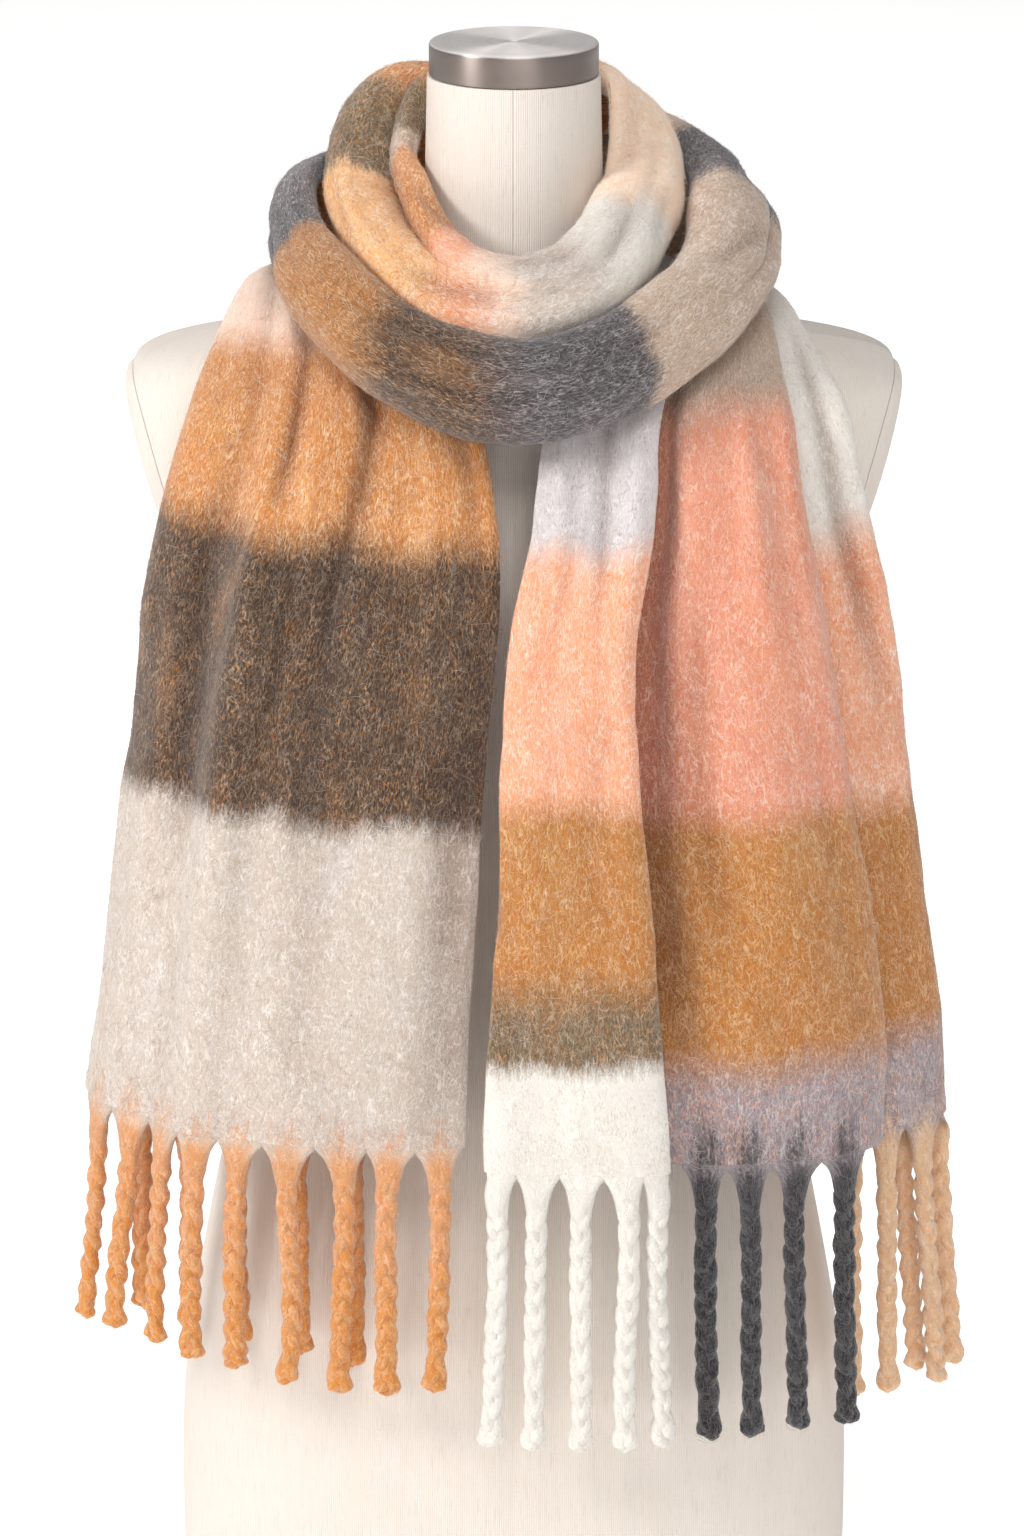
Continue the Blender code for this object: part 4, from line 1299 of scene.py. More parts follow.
def linen_cover(name, colour, rib):
    """Plain linen with a fine upright rib and uneven threads."""
    recipe = Recipe(name)
    place = recipe.place("cloth")
    split = recipe.node("ShaderNodeSeparateXYZ", Vector=place)
    waver = recipe.grain(place, 30, 12, 1.0)
    across = recipe.math("MULTIPLY_ADD", waver, 0.0006, split.outputs["X"])
    ribs = recipe.math("SINE", recipe.math("MULTIPLY", across, 2 * math.pi / rib))
    ribs = recipe.fit(ribs, -1.0, 1.0)
    slub = recipe.grain(place, 800, 60, 2.0)
    weft = recipe.grain(place, 180, 1500, 2.0)
    cloud = recipe.grain(place, 14, 10, 3.0)
    deep = tuple(value * share for value, share in zip(colour, (0.80, 0.77, 0.73)))
    shown = recipe.tinge(colour, deep, ribs, 0.55, 0.0, 0.38)
    shown = recipe.tinge(shown, deep, slub, 0.56, 0.74, 0.5)
    shown = recipe.tinge(shown, deep, weft, 0.55, 0.75, 0.35)
    shown = recipe.tinge(shown, deep, cloud, 0.45, 0.75, 0.22)
    height = recipe.math("MULTIPLY", recipe.math("ADD", slub, weft), 0.5)
    height = recipe.math("ADD", ribs, height)
    recipe.shade(
        Base_Color=shown,
        Roughness=recipe.fit(slub, 0.2, 0.8, 0.78, 0.92),
        Normal=recipe.bump(height, 0.0002, 0.8),
        Sheen_Weight=0.12, Sheen_Roughness=0.5, Specular_IOR_Level=0.2,
    )
    return recipe.material


def spun_steel(name, colour):
    """Turned and brushed steel: fine rings round the cap's axis."""
    recipe = Recipe(name)
    place = recipe.node("ShaderNodeTexCoord").outputs["Object"]
    split = recipe.node("ShaderNodeSeparateXYZ", Vector=place)
    x, y, z = (split.outputs[axis] for axis in "XYZ")
    squares = recipe.math("MULTIPLY_ADD", y, y, recipe.math("MULTIPLY", x, x))
    radius = recipe.math("SQRT", squares)
    spot = recipe.node("ShaderNodeCombineXYZ", X=radius, Y=z).outputs[0]
    lines = recipe.grain(spot, 2600, 2600, 3.0, roughness=0.7)
    bands = recipe.grain(spot, 420, 420, 2.0)
    smudge = recipe.noise(place, scale=26.0, detail=3.0)
    deep = tuple(0.72 * value for value in colour)
    # Painted shade: the side's colour, a darker copy of the steel.
    side = tuple(share * value for share, value in zip((0.40, 0.36, 0.34), colour))
    shown = recipe.tinge(colour, deep, lines, 0.4, 0.7, 0.55)
    shown = recipe.tinge(shown, deep, bands, 0.45, 0.7, 0.4)
    # The side's colour is painted darker than the brushed top's, as painted shade; the side is
    # also fully metallic and the top less so.
    upper = recipe.fit(z, (CAP_TOP - 1.6) * MM, (CAP_TOP - 0.5) * MM)
    shown = recipe.mix(upper, side, shown)
    worn = recipe.fit(smudge, 0.4, 0.8, 0.0, 0.08)
    rough = recipe.math("ADD", recipe.fit(lines, 0.3, 0.7, 0.26, 0.38), worn)
    ringed = recipe.node("ShaderNodeTangent", {"direction_type": "RADIAL", "axis": "Z"})
    recipe.shade(
        Base_Color=shown,
        Metallic=recipe.fit(upper, 0.0, 1.0, 1.0, 0.45),
        Roughness=recipe.math("MULTIPLY", rough, recipe.fit(upper, 0.0, 1.0, 1.3, 1.2)),
        Normal=recipe.bump(lines, 0.00005, 0.6),
        Tangent=ringed.outputs[0],
        Anisotropic=0.9, Anisotropic_Rotation=0.25,
    )
    return recipe.material


def stitch_thread(name, colour):
    """Twisted sewing thread."""
    recipe = Recipe(name)
    place = recipe.node("ShaderNodeTexCoord").outputs["Object"]
    twist = recipe.noise(recipe.stretch(place, (2500, 2500, 2500)), detail=1.0)
    deep = tuple(0.7 * value for value in colour)
    recipe.shade(
        Base_Color=recipe.mix(recipe.fit(twist, 0.4, 0.6), colour, deep),
        Roughness=recipe.fit(twist, 0.3, 0.7, 0.6, 0.8),
        Normal=recipe.bump(twist, 0.0001, 0.5),
    )
    return recipe.material


def pale_floor(name, colour):
    recipe = Recipe(name)
    place = recipe.node("ShaderNodeTexCoord").outputs["Object"]
    grain = recipe.noise(place, scale=3.0, detail=3.0)
    dusk = tuple(0.985 * value for value in colour)
    recipe.shade(
        Base_Color=recipe.mix(grain, colour, dusk),
        Roughness=recipe.fit(grain, 0.3, 0.7, 0.85, 0.92),
        Specular_IOR_Level=0.1, Emission_Color=(1, 1, 1, 1), Emission_Strength=0.50,
    )
    return recipe.material


# ------------------------------------------------------------------ the form
def form_mesh(rib_columns=112, levels=124):
    """The padded form below its cap as a bmesh, with a seam down its front and back."""
    places = np.linspace(0, len(FORM_SECTIONS) - 1, levels)
    places[:5] = (0, 0.02, 0.06, 0.12, 0.2)
    z, half_width, front, back, squareness = curve_at(FORM_SECTIONS, np.sort(places)).T
    turns = list(np.linspace(0, 2 * math.pi, rib_columns, endpoint=False))
    for seam in (math.pi / 2, 3 * math.pi / 2):
        turns += [seam + offset for offset in (-0.022, -0.010, -0.004, 0.004, 0.010, 0.022)]
    turns = np.unique(np.round(turns, 6))
    cosine, sine = np.cos(turns), np.sin(turns)
    power = 2 / squareness[:, None]
    x = np.sign(cosine) * np.abs(cosine) ** power * half_width[:, None]
    depth = np.where(sine > 0, back[:, None], front[:, None])
    y = np.sign(sine) * np.abs(sine) ** power * depth
    groove = np.zeros(x.shape)
    for seam in (math.pi / 2, 3 * math.pi / 2):
        groove += 0.45 * np.exp(-((turns - seam) / 0.005) ** 2)
    y = y * (1 - groove / np.maximum(np.abs(y), 20))
    points = np.stack([x, y, np.broadcast_to(z[:, None], x.shape)], axis=-1)
    # The cover is cut level below the neck cap, and its lower edge is turned under.
    points[0, :, :2] *= 0.985
    points[1, :, :2] *= 0.993
    closed = np.concatenate([points, points[:, :1]], axis=1)
    arcs = np.linalg.norm(np.diff(closed, axis=1), axis=-1)
    around = np.concatenate([np.zeros((levels, 1)), np.cumsum(arcs, axis=1)], axis=1)
    front_seam = np.argmin(np.abs(turns - 3 * math.pi / 2))
    around = around - around[:, front_seam: front_seam + 1]
    up = reach_along(points[:, front_seam])
    shape = bmesh.new()
    layer = shape.loops.layers.uv.new("cloth")
    rows = [[shape.verts.new(Vector(point) * MM) for point in row] for row in points]
    count = len(turns)
    for level in range(levels - 1):
        for index in range(count):
            flat = ((level, index), (level, index + 1), (level + 1, index + 1), (level + 1, index))
            face = shape.faces.new([rows[row][column % count] for row, column in flat])
            for loop, (row, column) in zip(face.loops, flat):
                loop[layer].uv = (around[row, column] * MM, up[row] * MM)
    for face in (shape.faces.new(rows[0][::-1]), shape.faces.new(rows[-1])):
        for loop in face.loops:
            loop[layer].uv = loop.vert.co.xy
    return shape


def plate_plane(side, inset):
    """A point on the arm plate's seam and the way out of the form there."""
    lean = math.radians(PLATE_LEAN)
    outward = Vector((side * math.cos(lean), 0, -math.sin(lean)))
    seam = Vector((side * PLATE_TOP_X, 0, PLATE_TOP_Z)) + outward * inset
    return seam * MM, outward


def join_rings(shape, rings):
    """Faces from each ring to the next, as a fan where a ring is one point."""
    for lower, upper in zip(rings, rings[1:]):
        count = max(len(lower), len(upper))
        for index in range(count):
            after = (index + 1) % count
            if len(lower) == 1:
                shape.faces.new((lower[0], upper[after], upper[index]))
            elif len(upper) == 1:
                shape.faces.new((lower[index], lower[after], upper[0]))
            else:
                shape.faces.new((lower[index], lower[after], upper[after], upper[index]))


def cut_form(shape, side, keep_plate, inset):
    """Keeps the form up to an arm plate's seam, or the plate, with a rounded edge there."""
    seam, outward = plate_plane(side, inset)
    way = -outward if keep_plate else outward

    def by_arm(place):
        return place.z > PLATE_FOOT * MM and place.x * side > 40 * MM

    if keep_plate:
        far = [face for face in shape.faces if not by_arm(face.calc_center_median())]
        bmesh.ops.delete(shape, geom=far, context="FACES")
    for offset in EDGE_CUTS:
        faces = [face for face in shape.faces if by_arm(face.calc_center_median())]
        near = dict.fromkeys(item for face in faces for item in (*face.verts, *face.edges, face))
        found = bmesh.ops.bisect_plane(
            shape, geom=list(near), plane_co=seam + way * offset * MM, plane_no=way,
            clear_outer=offset == 0.0, dist=1e-6,
        )
    edges = [item for item in found["geom_cut"] if isinstance(item, bmesh.types.BMEdge)]
    made = bmesh.ops.holes_fill(shape, edges=edges)
    layer = shape.loops.layers.uv["cloth"]
    for face in made["faces"]:
        for loop in face.loops:
            loop[layer].uv = loop.vert.co.yz
    shape.normal_update()
    moves = {}
    for corner in shape.verts:
        inside = -(corner.co - seam).dot(way)
        if by_arm(corner.co) and -0.01 * MM < inside < EDGE_WIDTH * MM:
            share = 1 - inside / (EDGE_WIDTH * MM)
            normal = Vector(corner.normal)
            normal -= way * normal.dot(way)
            if normal.length > 1e-6:
                moves[corner] = normal.normalized() * (-EDGE_DROP * MM * share**2)
    for corner, move in moves.items():
        corner.co += move
    ends = dict.fromkeys(end for edge in edges if edge.is_valid for end in edge.verts)
    return [corner.co.copy() for corner in ends]


def finish_mesh(name, shape, finish, sharp=50):
    bmesh.ops.recalc_face_normals(shape, faces=shape.faces)
    mesh = bpy.data.meshes.new(name)
    shape.to_mesh(mesh)
    shape.free()
    mesh.materials.append(finish)
    mesh.shade_smooth()
    mesh.set_sharp_from_angle(angle=math.radians(sharp))
    made = bpy.data.objects.new(name, mesh)
    bpy.context.scene.collection.objects.link(made)
    return made


def stitch_row(loop_points, side, spacing):
    """Short raised stitches a little inside an arm plate's seam."""
    outward = plate_plane(side, 0)[1]
    points = np.array([tuple(point) for point in loop_points]) / MM
    middle = points.mean(axis=0)
    upward = np.array(outward.cross(Vector((0, 1, 0)))) * side
    spread = points - middle
    points = points[np.argsort(np.arctan2(spread @ upward, spread[:, 1]))]
    closed = np.concatenate([points, points[:1]])
    lengths = reach_along(closed)
    count = int(lengths[-1] / spacing)
    shape = bmesh.new()
    out = np.array(outward)
    for index in range(count):
        start = lengths[-1] * index / count
        first, last = (
            np.array([np.interp(start + step, lengths, closed[:, axis]) for axis in range(3)])
            for step in (0, STITCH_LENGTH)
        )
        way = unit(last - first)
        normal = unit(-unit(middle - first) - 0.25 * out)
        beside = unit(np.cross(way, normal))
        rings = []
        for share, size, rise in STITCH_RINGS:
            centre = first + (last - first) * share - out * 3.4 + normal * (rise - 0.12)
            spots = [
                centre + (math.cos(turn) * beside + math.sin(turn) * normal) * size
                for turn in np.radians((0, 72, 144, 216, 288))
            ]
            rings.append([shape.verts.new(Vector(spot) * MM) for spot in spots])
        join_rings(shape, rings)
        shape.faces.new(rings[0][::-1])
        shape.faces.new(rings[-1])
    return shape


def cap_mesh(sides=160):
    """The turned cap: a flat top with a rounded edge and a shallow centre mark."""
    profile = [
        (0.0, NECK_TOP + GAP), (CAP_RADIUS - 1.0, NECK_TOP + GAP),
        (CAP_RADIUS - 0.3, NECK_TOP + GAP + 0.2), (CAP_RADIUS, NECK_TOP + GAP + 0.9),
        (CAP_RADIUS, CAP_TOP - 2.2),
    ]
    for turn in np.radians(np.linspace(10, 90, 7)):
        profile.append((
            CAP_RADIUS - CAP_EDGE + CAP_EDGE * math.cos(turn),
            CAP_TOP - CAP_EDGE + CAP_EDGE * math.sin(turn),
        ))
    profile += [(CAP_RADIUS * share, CAP_TOP) for share in (0.9, 0.7, 0.5, 0.3, 0.15)]
    profile += [(3.0, CAP_TOP), (2.2, CAP_TOP - 0.25), (0.0, CAP_TOP - 0.35)]
    shape = bmesh.new()
    rings = []
    for radius, height in profile:
        if radius == 0.0:
            rings.append([shape.verts.new((0, 0, height * MM))])
            continue
        ring = []
        for index in range(sides):
            turn = 2 * math.pi * index / sides
            spot = Vector((radius * math.cos(turn), radius * math.sin(turn), height))
            ring.append(shape.verts.new(spot * MM))
        rings.append(ring)
    join_rings(shape, rings)
    return shape


# ------------------------------------------------------------------ tassels
def tassel_line(root, row, random, rings):
    """The middle line of a tassel and each ring's share of its length, from the root."""
    share = np.linspace(0, 1, rings)
    drift = np.array([row["drift_x"], row["drift_y"], 0.0])
    sway = random.normal(0, 1.1, 4)
    line = root + drift * share[:, None] - np.array([0, 0, row["length"]]) * share[:, None]
    bow, wave = np.sin(math.pi * share), np.sin(2 * math.pi * share)
    line[:, 0] += sway[0] * bow + 0.6 * sway[1] * wave
    line[:, 1] += 0.5 * sway[2] * bow + 0.4 * sway[3] * wave
    return line, share


def ring_points(centres, wides, deeps, frames, sides, flatness=1.0):
    """Points of rings round centres. frames are each ring's two ways across it.

    flatness is 1 for round rings and less for flatter ones.
    """
    turns = turns_round(sides)
    first, second = frames
    flatness = np.broadcast_to(flatness, (len(centres),))[:, None]
    sine = np.sign(np.sin(turns)) * np.abs(np.sin(turns))[None] ** flatness
    circle = np.cos(turns)[None, :, None] * first[:, None] * wides[..., None]
    circle = circle + sine[..., None] * second[:, None] * deeps[..., None]
    return centres[:, None] + circle


def add_tube(gather, points, centres, cell, flat_start, tint, hollow=0.0):
    """A closed tube of rings of points round centres.

    flat_start is where the tube starts on the flat map and its width there.
    """
    rings, sides = points.shape[:2]
    corners = grid_corners(rings, sides + 1)
    row, column = corners[..., 0], corners[..., 1]
    faces = row * sides + column % sides
    across, down, width = flat_start
    lengths = reach_along(centres)
    flat = np.stack([across + width * column / sides, down + lengths[row]], axis=-1)
    (left, bottom), (wide, tall) = cell
    atlas = np.stack([
        left + wide * (0.03 + 0.94 * column / sides),
        bottom + tall * (0.04 + 0.92 * row / (rings - 1)),
    ], axis=-1)
    if np.ndim(tint) == 1:
        tint = np.repeat(tint, sides)
    gather.add(points, faces, flat, atlas, tint=np.ravel(tint), hollow=np.ravel(hollow))
    circle = circle_at(turns_round(sides))
    for end, height in ((0, 0.02), (rings - 1, 0.98)):
        fan = np.array([(0, index, index + 1) for index in range(1, sides - 1)])
        spots = np.stack([
            left + wide * 0.01 * (1 + circle[:, 0]),
            bottom + tall * height + tall * 0.01 * circle[:, 1],
        ], axis=-1)
        parts = fan + end * sides, (across, down) + 4 * circle[fan], spots[fan]
        gather.add_faces(points, *(flipped(*parts) if end == 0 else parts))


def add_fuzz(gather, surfaces, count, sizes, random, region):
    """Loose fibres that lie down the tassels, each on one of their outer surfaces.

    A surface is its rings of points, their middles, the drop from ring to ring and the
    tint of each ring.
    """
    picks = random.integers(0, len(surfaces), count)
    paths = np.empty((count, 3, 3))
    outs = np.empty((count, 3))
    flats = np.empty((count, 2))
    tint = np.empty(count)
    for index, pick in enumerate(picks):
        points, middles, spacing, tints = surfaces[pick]
        rings, around = points.shape[:2]
        length = random.uniform(4.0, 9.5)
        heading = random.normal(0, 0.75)
        bend = random.normal(0, 0.5)
        row = random.uniform(0, rings - 1.2)
        column = random.uniform(0, around)
        proud = random.random() < 0.2
        height = random.uniform(1.0, 2.2) if proud else random.uniform(0.2, 0.8)
        for step, share in enumerate((0.0, 0.5, 1.0)):
            run = length * share
            at_row = min(row + run * math.cos(heading) / spacing, rings - 1.001)
            over = run * math.sin(heading) + bend * length * share**2
            at_column = (column + over * around / 42.0) % around
            low, left = int(at_row), int(at_column)
            up, side = at_row - low, at_column - left
            right = (left + 1) % around
            spot = (points[low, left] * (1 - side) + points[low, right] * side) * (1 - up)
            spot = spot + (points[low + 1, left] * (1 - side) + points[low + 1, right] * side) * up
            out = unit(spot - (middles[low] * (1 - up) + middles[low + 1] * up))
            lift = height * (share**0.8 if proud else math.sin(math.pi * (0.1 + 0.75 * share)))
            paths[index, step] = spot + out * (lift - 0.1)
            if step == 1:
                outs[index] = out
                flats[index] = (pick * 31.0 + at_column * 2.0, at_row * spacing)
                tint[index] = tints[low]
    ways = unit(paths[:, -1] - paths[:, 0])
    sides = unit(np.cross(ways, outs))
    ups = np.cross(sides, ways)
    widths = sizes.nap_width / MM * random.uniform(0.6, 0.95, count)
    tone = np.where(random.random(count) < 0.10, -0.2, random.beta(1.8, 0.9, count))
    add_needles(gather, paths, sides, ups, widths, flats, region, tone=tone, tint=tint)


def tassels_mesh(name, hem, table, finish, sizes, seed):
    """A group of three-ply tassels with their flared roots under the cloth's edge."""
    line, lengths = hem

    def hem_at(along):
        return np.stack([np.interp(along, lengths, line[:, axis]) for axis in range(3)], axis=-1)

    random = np.random.default_rng(seed)
    gather = Gather()
    rows = rows_of(TASSEL_COLUMNS, table)
    rings, sides = TASSEL_RINGS, PLY_SIDES
    places = np.array([row["along"] for row in rows])
    halves = np.clip(np.diff(places) / 2, 8, 15.5)
    halves = np.concatenate([[13], halves, [13]])
    surfaces = []
    pieces = 4 * len(rows)
    for index, row in enumerate(rows):
        root = hem_at(row["along"])
        way = unit((hem_at(row["along"] + 5) - hem_at(row["along"] - 5)) * (1, 1, 0))
        side = np.array([way[1], -way[0], 0.0])
        centre, share = tassel_line(root, row, random, rings)
        reach = share * row["length"]
        phase = random.uniform(0, 2 * math.pi)
        turned = phase + 2 * math.pi * reach / (sizes.twist / MM) * random.uniform(0.92, 1.08)
        turned = turned + 0.35 * np.sin(reach / 15 + phase)
        ply = sizes.ply / MM * random.uniform(0.94, 1.06)
        left = row["length"] - reach
        waist = 0.06 * np.exp(-(((left - 21) / 7) ** 2))
        swell = 1 + 0.26 * (1 - smooth_step(left, 3, 18)) - waist
        swell = swell * (1 + 0.04 * np.sin(reach / 9.0 + phase * 2))
        closing = np.sqrt(np.clip(left / 3.4, 0.03, 1))
        opening = smooth_step(reach, 2, 20)
        angles = turned[:, None] + np.arange(3) * 2 * math.pi / 3
        offsets = np.stack([0.60 * np.cos(angles), 0.32 * np.sin(2 * angles)], axis=-1)
        offsets = offsets * (ply * swell * opening * (0.55 + 0.45 * closing))[:, None, None]
        thick = ply * swell * closing * (0.5 + 0.5 * opening)
        skip = int(np.searchsorted(reach, 8.0))
        tint = smooth_step(reach, *YARN_CHANGE)
        around = turns_round(sides)

        def outline(ways):
            """How far the three plies reach from the tassel's middle, ways round it."""
            reaches = np.einsum("rkx,r...x->r...k", offsets, ways)
            return reaches.max(axis=-1) + thick.reshape((-1,) + (1,) * (ways.ndim - 2))

        for strand in range(3):
            offset = offsets[:, strand]
            middle = centre + offset[:, :1] * way + offset[:, 1:] * side
            middle[:, 2] += random.uniform(0, 3.5) * share**9
            lobes = 1 + 0.05 * np.cos(3 * around + turned[:, None] * 1.3)
            lobes = lobes + 0.035 * random.normal(0, 1, (rings, sides))
            size = thick[:, None] * lobes
            spread = offset[:, None] + size[..., None] * circle_at(around)
            # How far a point lies inside the plies' outline, for the painted shade in the grooves
            # between them.
            sunk = outline(unit(spread)) - np.linalg.norm(spread, axis=-1)
            hollow = np.clip(sunk / 3.0, 0, 1)
            cell = cell_places(np.array(index * 4 + strand), pieces, PLY_REGION)
            frames = [np.broadcast_to(each, (rings - skip, 3)) for each in (way, side)]
            points = ring_points(middle[skip:], size[skip:], size[skip:], frames, sides)
            flat_start = (index * 53.0 + strand * 17, reach[skip], 16.0)
            add_tube(gather, points, middle[skip:], cell, flat_start, tint[skip:], hollow[skip:])
        # The outline round the plies, for the loose fibres to lie on.
        turns = turns_round(ROOT_SIDES)
        ways = np.broadcast_to(circle_at(turns), (rings, ROOT_SIDES, 2))
        outward = ways[..., :1] * way + ways[..., 1:] * side
        points = centre[:, None] + outline(ways)[..., None] * outward
        surfaces += [(points[skip:], centre[skip:], reach[1] - reach[0], tint[skip:])] * 4
        # The flared root: the cloth's own threads drawn together into the twist.
        drop, deep, narrowing = np.array(ROOT_LEVELS).T
        hem_half = np.where(np.cos(turns) > 0, halves[index + 1], halves[index])
        ease = np.exp(-((np.maximum(drop - 2, 0) / 7) ** 0.95))[:, None]
        wide = 5.9 + (hem_half[None] * 1.04 - 5.3) * ease
        wide = wide * narrowing[:, None]
        spots = np.stack([np.interp(drop, reach, centre[:, axis]) for axis in range(3)], axis=1)
        spots[:2] = root - np.array([0, 0, 1.0]) * drop[:2, None]
        flutes = 1 + 0.05 * np.cos(6 * turns + phase)[None]
        flutes = flutes + 0.03 * random.normal(0, 1, (len(drop), ROOT_SIDES))
        cell = cell_places(np.array(index * 4 + 3), pieces, PLY_REGION)
        tint = smooth_step(drop[:, None] - 9 * np.abs(np.cos(turns))[None] ** 2, *YARN_CHANGE)
        frames = [np.broadcast_to(each, (len(drop), 3)) for each in (way, side)]
        flatness = np.interp(drop, (3, 16), (0.3, 1.0))
        points = ring_points(spots, wide, deep[:, None] * flutes, frames, ROOT_SIDES, flatness)
        # Its top follows the curve of the cloth's edge.
        over = np.cos(turns)[None] * wide
        bent = hem_at(row["along"] + over) - root - way * over[..., None]
        points = points + bent * (1 - smooth_step(drop, 3, 18))[:, None, None]
        flat_start = (index * 53.0 + 7, -6.0, 4.2 * hem_half.mean())
        add_tube(gather, points, spots, cell, flat_start, tint)
        surfaces += [(points, spots, 4.1, tint[:, 4])] * 3
    count = int(len(rows) * FUZZ_PER_TASSEL * sizes.nap_share)
    if count:
        add_fuzz(gather, surfaces, count, sizes, random, FUZZ_REGION)
    return gather.make(name, finish)


def draw_hem(cloth, table, height, strength):
    """Lets each tassel's yarn run up into the cloth, to a height above its edge."""
    across = cloth.measure[..., 0]
    along = cloth.measure[..., 1]
    roots = np.array([row[0] for row in table], float)
    near = np.exp(-(((across[..., None] - roots) / 9.0) ** 2)).max(axis=-1)
    within = (across > roots.min() - 14) & (across < roots.max() + 14)
    rising = smooth_step(along, height, -4.0)
    cloth.tint = np.maximum(cloth.tint, (0.08 + strength * near) * within * rising)


# ------------------------------------------------------------------ operators
def front_weight(cloth):
    """More nap where the cloth shows and less where it lies on the form or under itself."""
    even = np.ones(cloth.panel.shape)
    ways = np.stack([np.sign(cloth.middle[..., 0]), -even, even], axis=-1)
    shown = np.clip((cloth.out * ways).max(axis=-1), 0, 1)
    by_hem = 1 + 3.0 * np.exp(-cloth.measure[..., 1] / 9.0)
    return (0.12 + smooth_step(shown, 0.15, 0.6)) * by_hem


def declare(piece, nodes):
    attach(piece, "root")
    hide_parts(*nodes)


def nap_mesh(name, cloth, sizes, finish, fibres, weight, tousled, seed):
    """A stretch's nap as one mesh of its own that goes with it."""
    gather = Gather()
    counts = [int(part * sizes.nap_share) for part in fibres]
    grow_nap(gather, cloth, sizes, counts, weight, tousled, seed)
    nap = gather.make(name, finish)
    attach(nap, "root")
    return nap


def lay_sheet(cloth):
    """Works out the area of each square of the cloth, which nothing uses."""
    cells = cloth.step_along * cloth.step_across
    if not cloth.ringed:
        cells = cells[:-1, :-1]


class SCARF_OT_form(bpy.types.Operator):
    """Covers the padded form and its arm plates in ribbed linen, with their stitches"""

    bl_idname = "scarf.form"
    bl_label = "Form cover"

    def execute(self, context):
        finish = context.scene.form_finish
        linen = linen_cover("ribbed_linen", tuple(finish.linen), finish.rib)
        thread = stitch_thread("linen_thread", tuple(finish.thread))
        body = form_mesh()
        loops = {side: cut_form(body, side, False, 0.0) for side in (1, -1)}
        torso = finish_mesh("torso_cover", body, linen)
        declare(torso, ["form_torso"])
        for side, word in ((1, "right"), (-1, "left")):
            plate = form_mesh()
            cut_form(plate, side, True, GAP)
            cover = finish_mesh(f"arm_plate_cover_{word}", plate, linen)
            declare(cover, [f"form_arm_plate_{word}"])
            stitches = stitch_row(loops[side], side, finish.stitch / MM)
            row = finish_mesh(f"arm_plate_stitches_{word}", stitches, thread)
            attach(row, "root")
        return {"FINISHED"}


class SCARF_OT_cap(bpy.types.Operator):
    """Turns the steel cap on the neck"""

    bl_idname = "scarf.cap"
    bl_label = "Neck cap"

    def execute(self, context):
        steel = spun_steel("spun_steel", tuple(context.scene.form_finish.steel))
        cap = finish_mesh("steel_cap", cap_mesh(), steel, 35)
        declare(cap, ["neck_cap"])
        return {"FINISHED"}


class SCARF_OT_turns(bpy.types.Operator):
    """Winds the two turns of wool round the neck and grows their nap"""

    bl_idname = "scarf.turns"
    bl_label = "Turns round the neck"

    def execute(self, context):
        sizes, yarns = context.scene.scarf_sizes, context.scene.scarf_yarns
        step = sizes.cell / MM * 0.9
        for word, table, arc, crease_at, first, creases, bands, slot, fibres in (
            ("inner", INNER_TURN, INNER_ARC, INNER_CREASE_AT, INNER_START, INNER_CREASES,
             INNER_BANDS, "ochre_wool", INNER_FIBRES),
            ("outer", OUTER_TURN, OUTER_ARC, OUTER_CREASE_AT, OUTER_START, OUTER_CREASES,
             OUTER_BANDS, "smoke_wool", OUTER_FIBRES),
        ):
            cloth = turn_cloth(table, arc, crease_at, first, step, creases, SEED + len(table))
            panels = [
                [(float(cloth.reach_of(at)), *rest) for at, *rest in panel] for panel in bands
            ]
            if len(panels) == 1:
                cloth.panel[:] = 0
            finish = wool(f"wool_{word}", yarns, panels, cloth.length, [tuple(yarns.beige)])
            piece = wall_mesh(f"wool_turn_{word}", cloth, finish, sizes.wall / MM)
            declare(piece, [f"neck_turn_{word}"])
            nap = nap_mesh(
                f"nap_turn_{word}", cloth, sizes, finish, fibres,
                np.ones(cloth.panel.shape), 1.5, SEED + len(table),
            )
            lay_sheet(cloth)
        return {"FINISHED"}


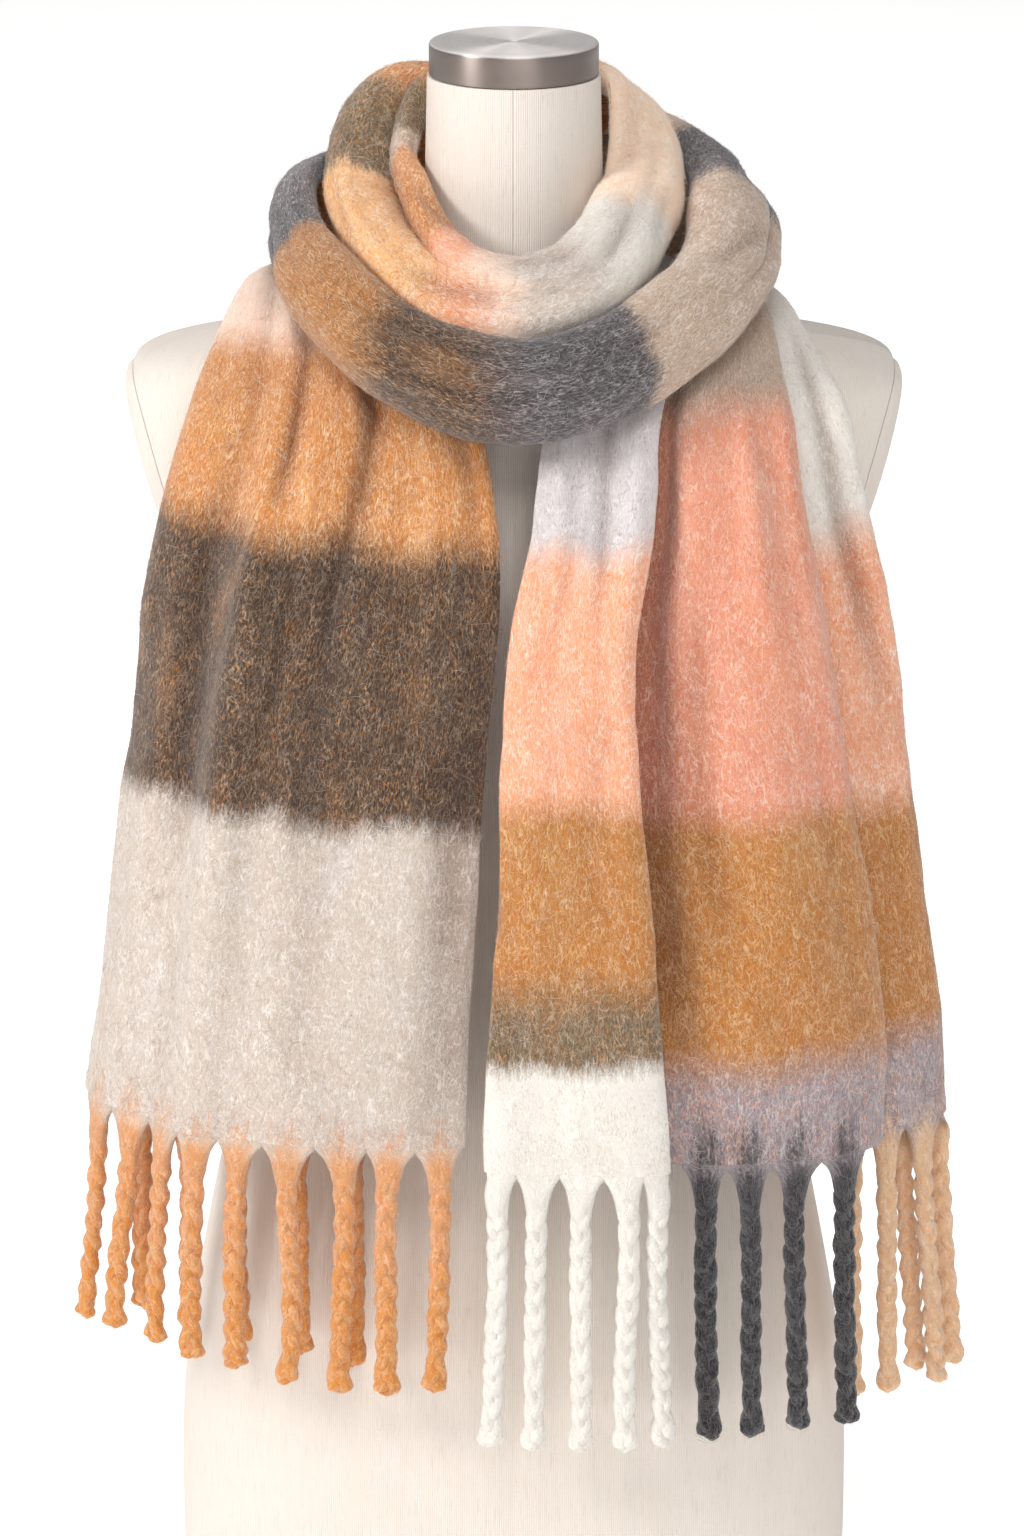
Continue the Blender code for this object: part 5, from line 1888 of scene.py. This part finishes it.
class SCARF_OT_ends(bpy.types.Operator):
    """Hangs the two folded ends of wool with their nap and their twisted tassels"""

    bl_idname = "scarf.ends"
    bl_label = "Hanging ends and tassels"

    def execute(self, context):
        sizes, yarns = context.scene.scarf_sizes, context.scene.scarf_yarns
        step = sizes.cell / MM
        for word, table, across, panels, outward, creases, bands, slot, groups in (
            ("left", LEFT_FALL, LEFT_ACROSS, (), 1, LEFT_CREASES, LEFT_BANDS, "camel_wool", (
                ("left", LEFT_TASSELS, "orange", "amber", "cream", "camel_wool", 30, 0.56),
            )),
            ("right", RIGHT_FALL, RIGHT_ACROSS, RIGHT_PANELS, -1, RIGHT_CREASES, RIGHT_BANDS,
             "peach_wool", (
                ("white", WHITE_TASSELS, "white", "white", "white", "cream_wool", 20, 0.5),
                ("grey", GREY_TASSELS, "smoke", "smoke", "lilac", "smoke_wool", 46, 0.85),
                ("tan", TAN_TASSELS, "sand", "sand", "lilac", "tan_wool", 22, 0.5),
            )),
        ):
            cloth = fall_cloth(table, across, step, panels, outward, creases, SEED + outward)
            for _, rows, *_, height, strength in groups:
                draw_hem(cloth, rows, height, strength)
            tassel = [tuple(getattr(yarns, group[2])) for group in groups]
            finish = wool(f"wool_{word}", yarns, bands, cloth.length, tassel)
            piece = wall_mesh(f"wool_end_{word}", cloth, finish, sizes.wall / MM)
            declare(piece, [f"fall_{word}"])
            fringe = [nap_mesh(
                f"nap_end_{word}", cloth, sizes, finish, END_FIBRES,
                front_weight(cloth), 1.25, SEED + len(word),
            )]
            hem = (cloth.middle[0], cloth.measure[0, :, 0])
            for name, rows, yarn, low, edge, yarn_slot, *_ in groups:
                colours = (tuple(getattr(yarns, part)) for part in (yarn, low, edge))
                yarn_finish = tassel_yarn(f"yarn_{name}", *colours)
                node = "fringe_left" if name == "left" else f"fringe_right_{name}"
                seed = SEED + len(rows) + len(name)
                tassels = tassels_mesh(f"tassels_{name}", hem, rows, yarn_finish, sizes, seed)
                declare(tassels, [node])
                fringe.append(tassels)
            lay_sheet(cloth)
        return {"FINISHED"}


class SCARF_OT_stage(bpy.types.Operator):
    """Sets the pale floor, the soft lights and the camera"""

    bl_idname = "scarf.stage"
    bl_label = "Stage"

    def execute(self, context):
        light = context.scene.stage_light
        shape = bmesh.new()
        shape.faces.new([
            shape.verts.new((x * FLOOR_REACH, y * FLOOR_REACH, -0.0005))
            for x, y in ((-1, -1), (1, -1), (1, 1), (-1, 1))
        ])
        floor = finish_mesh("floor", shape, pale_floor("pale_floor", tuple(light.floor)))
        for name, place, target, size, power, colour in (
            ("key", (-3.3, -1.75, 2.5), (0, 0, 0.5), 1.2, light.key, (1.0, 0.985, 0.965)),
            ("fill", (1.3, -3.4, 1.5), (0, 0, 0.5), 1.6, light.fill, (1.0, 0.985, 0.97)),
            ("top", (0.2, -2.1, 3.2), (0, 0, 0.6), 1.8, light.top, (1.0, 1.0, 1.0)),
            ("back", (0.0, 2.6, 3.6), (0, 3.6, 0.0), 3.0, light.back, (1.0, 1.0, 1.0)),
        ):
            lamp = bpy.data.lights.new(name, "AREA")
            lamp.energy = power
            lamp.size = size
            lamp.color = colour
            made = bpy.data.objects.new(name, lamp)
            made.location = place
            way = Vector(target) - Vector(place)
            made.rotation_euler = way.to_track_quat("-Z", "Y").to_euler()
            context.scene.collection.objects.link(made)
        room = bpy.data.worlds.new("room")
        room.use_nodes = True
        sky = room.node_tree.nodes["Background"]
        sky.inputs["Color"].default_value = (1.0, 1.0, 1.0, 1.0)
        sky.inputs["Strength"].default_value = light.sky
        context.scene.world = room
        context.scene.view_settings.view_transform = "Standard"
        view = bpy.data.cameras.new("camera")
        view.sensor_fit = "VERTICAL"
        view.sensor_width, view.sensor_height = SENSOR
        view.lens = LENS
        camera = bpy.data.objects.new("camera", view)
        camera.location = CAMERA_PLACE
        camera.rotation_euler = (math.radians(90 - CAMERA_DIP), 0, 0)
        context.scene.collection.objects.link(camera)
        context.scene.camera = camera
        return {"FINISHED"}


class SCARF_PT_panel(bpy.types.Panel):
    """Lists the pieces in the order they are made"""

    bl_label = "Scarf"
    bl_idname = "SCARF_PT_panel"
    bl_space_type = "VIEW_3D"
    bl_region_type = "UI"
    bl_category = "Scarf"

    def draw(self, context):
        for operator in OPERATORS:
            self.layout.operator(operator.bl_idname)
        for group in GROUPS:
            settings = getattr(context.scene, group)
            for name in settings.__annotations__:
                self.layout.prop(settings, name)


OPERATORS = (SCARF_OT_form, SCARF_OT_cap, SCARF_OT_turns, SCARF_OT_ends, SCARF_OT_stage)
GROUPS = {
    "scarf_yarns": ScarfYarns,
    "scarf_sizes": ScarfSizes,
    "form_finish": FormFinish,
    "stage_light": StageLight,
}


def register():
    for made in (*GROUPS.values(), *OPERATORS, SCARF_PT_panel):
        bpy.utils.register_class(made)
    for name, group in GROUPS.items():
        setattr(bpy.types.Scene, name, bpy.props.PointerProperty(type=group))


def unregister():
    for name in GROUPS:
        delattr(bpy.types.Scene, name)
    for made in reversed((*GROUPS.values(), *OPERATORS, SCARF_PT_panel)):
        bpy.utils.unregister_class(made)


def main():
    register()
    bpy.ops.scarf.form()
    bpy.ops.scarf.cap()
    bpy.ops.scarf.turns()
    bpy.ops.scarf.ends()
    bpy.ops.scarf.stage()


if __name__ == "__main__":
    main()
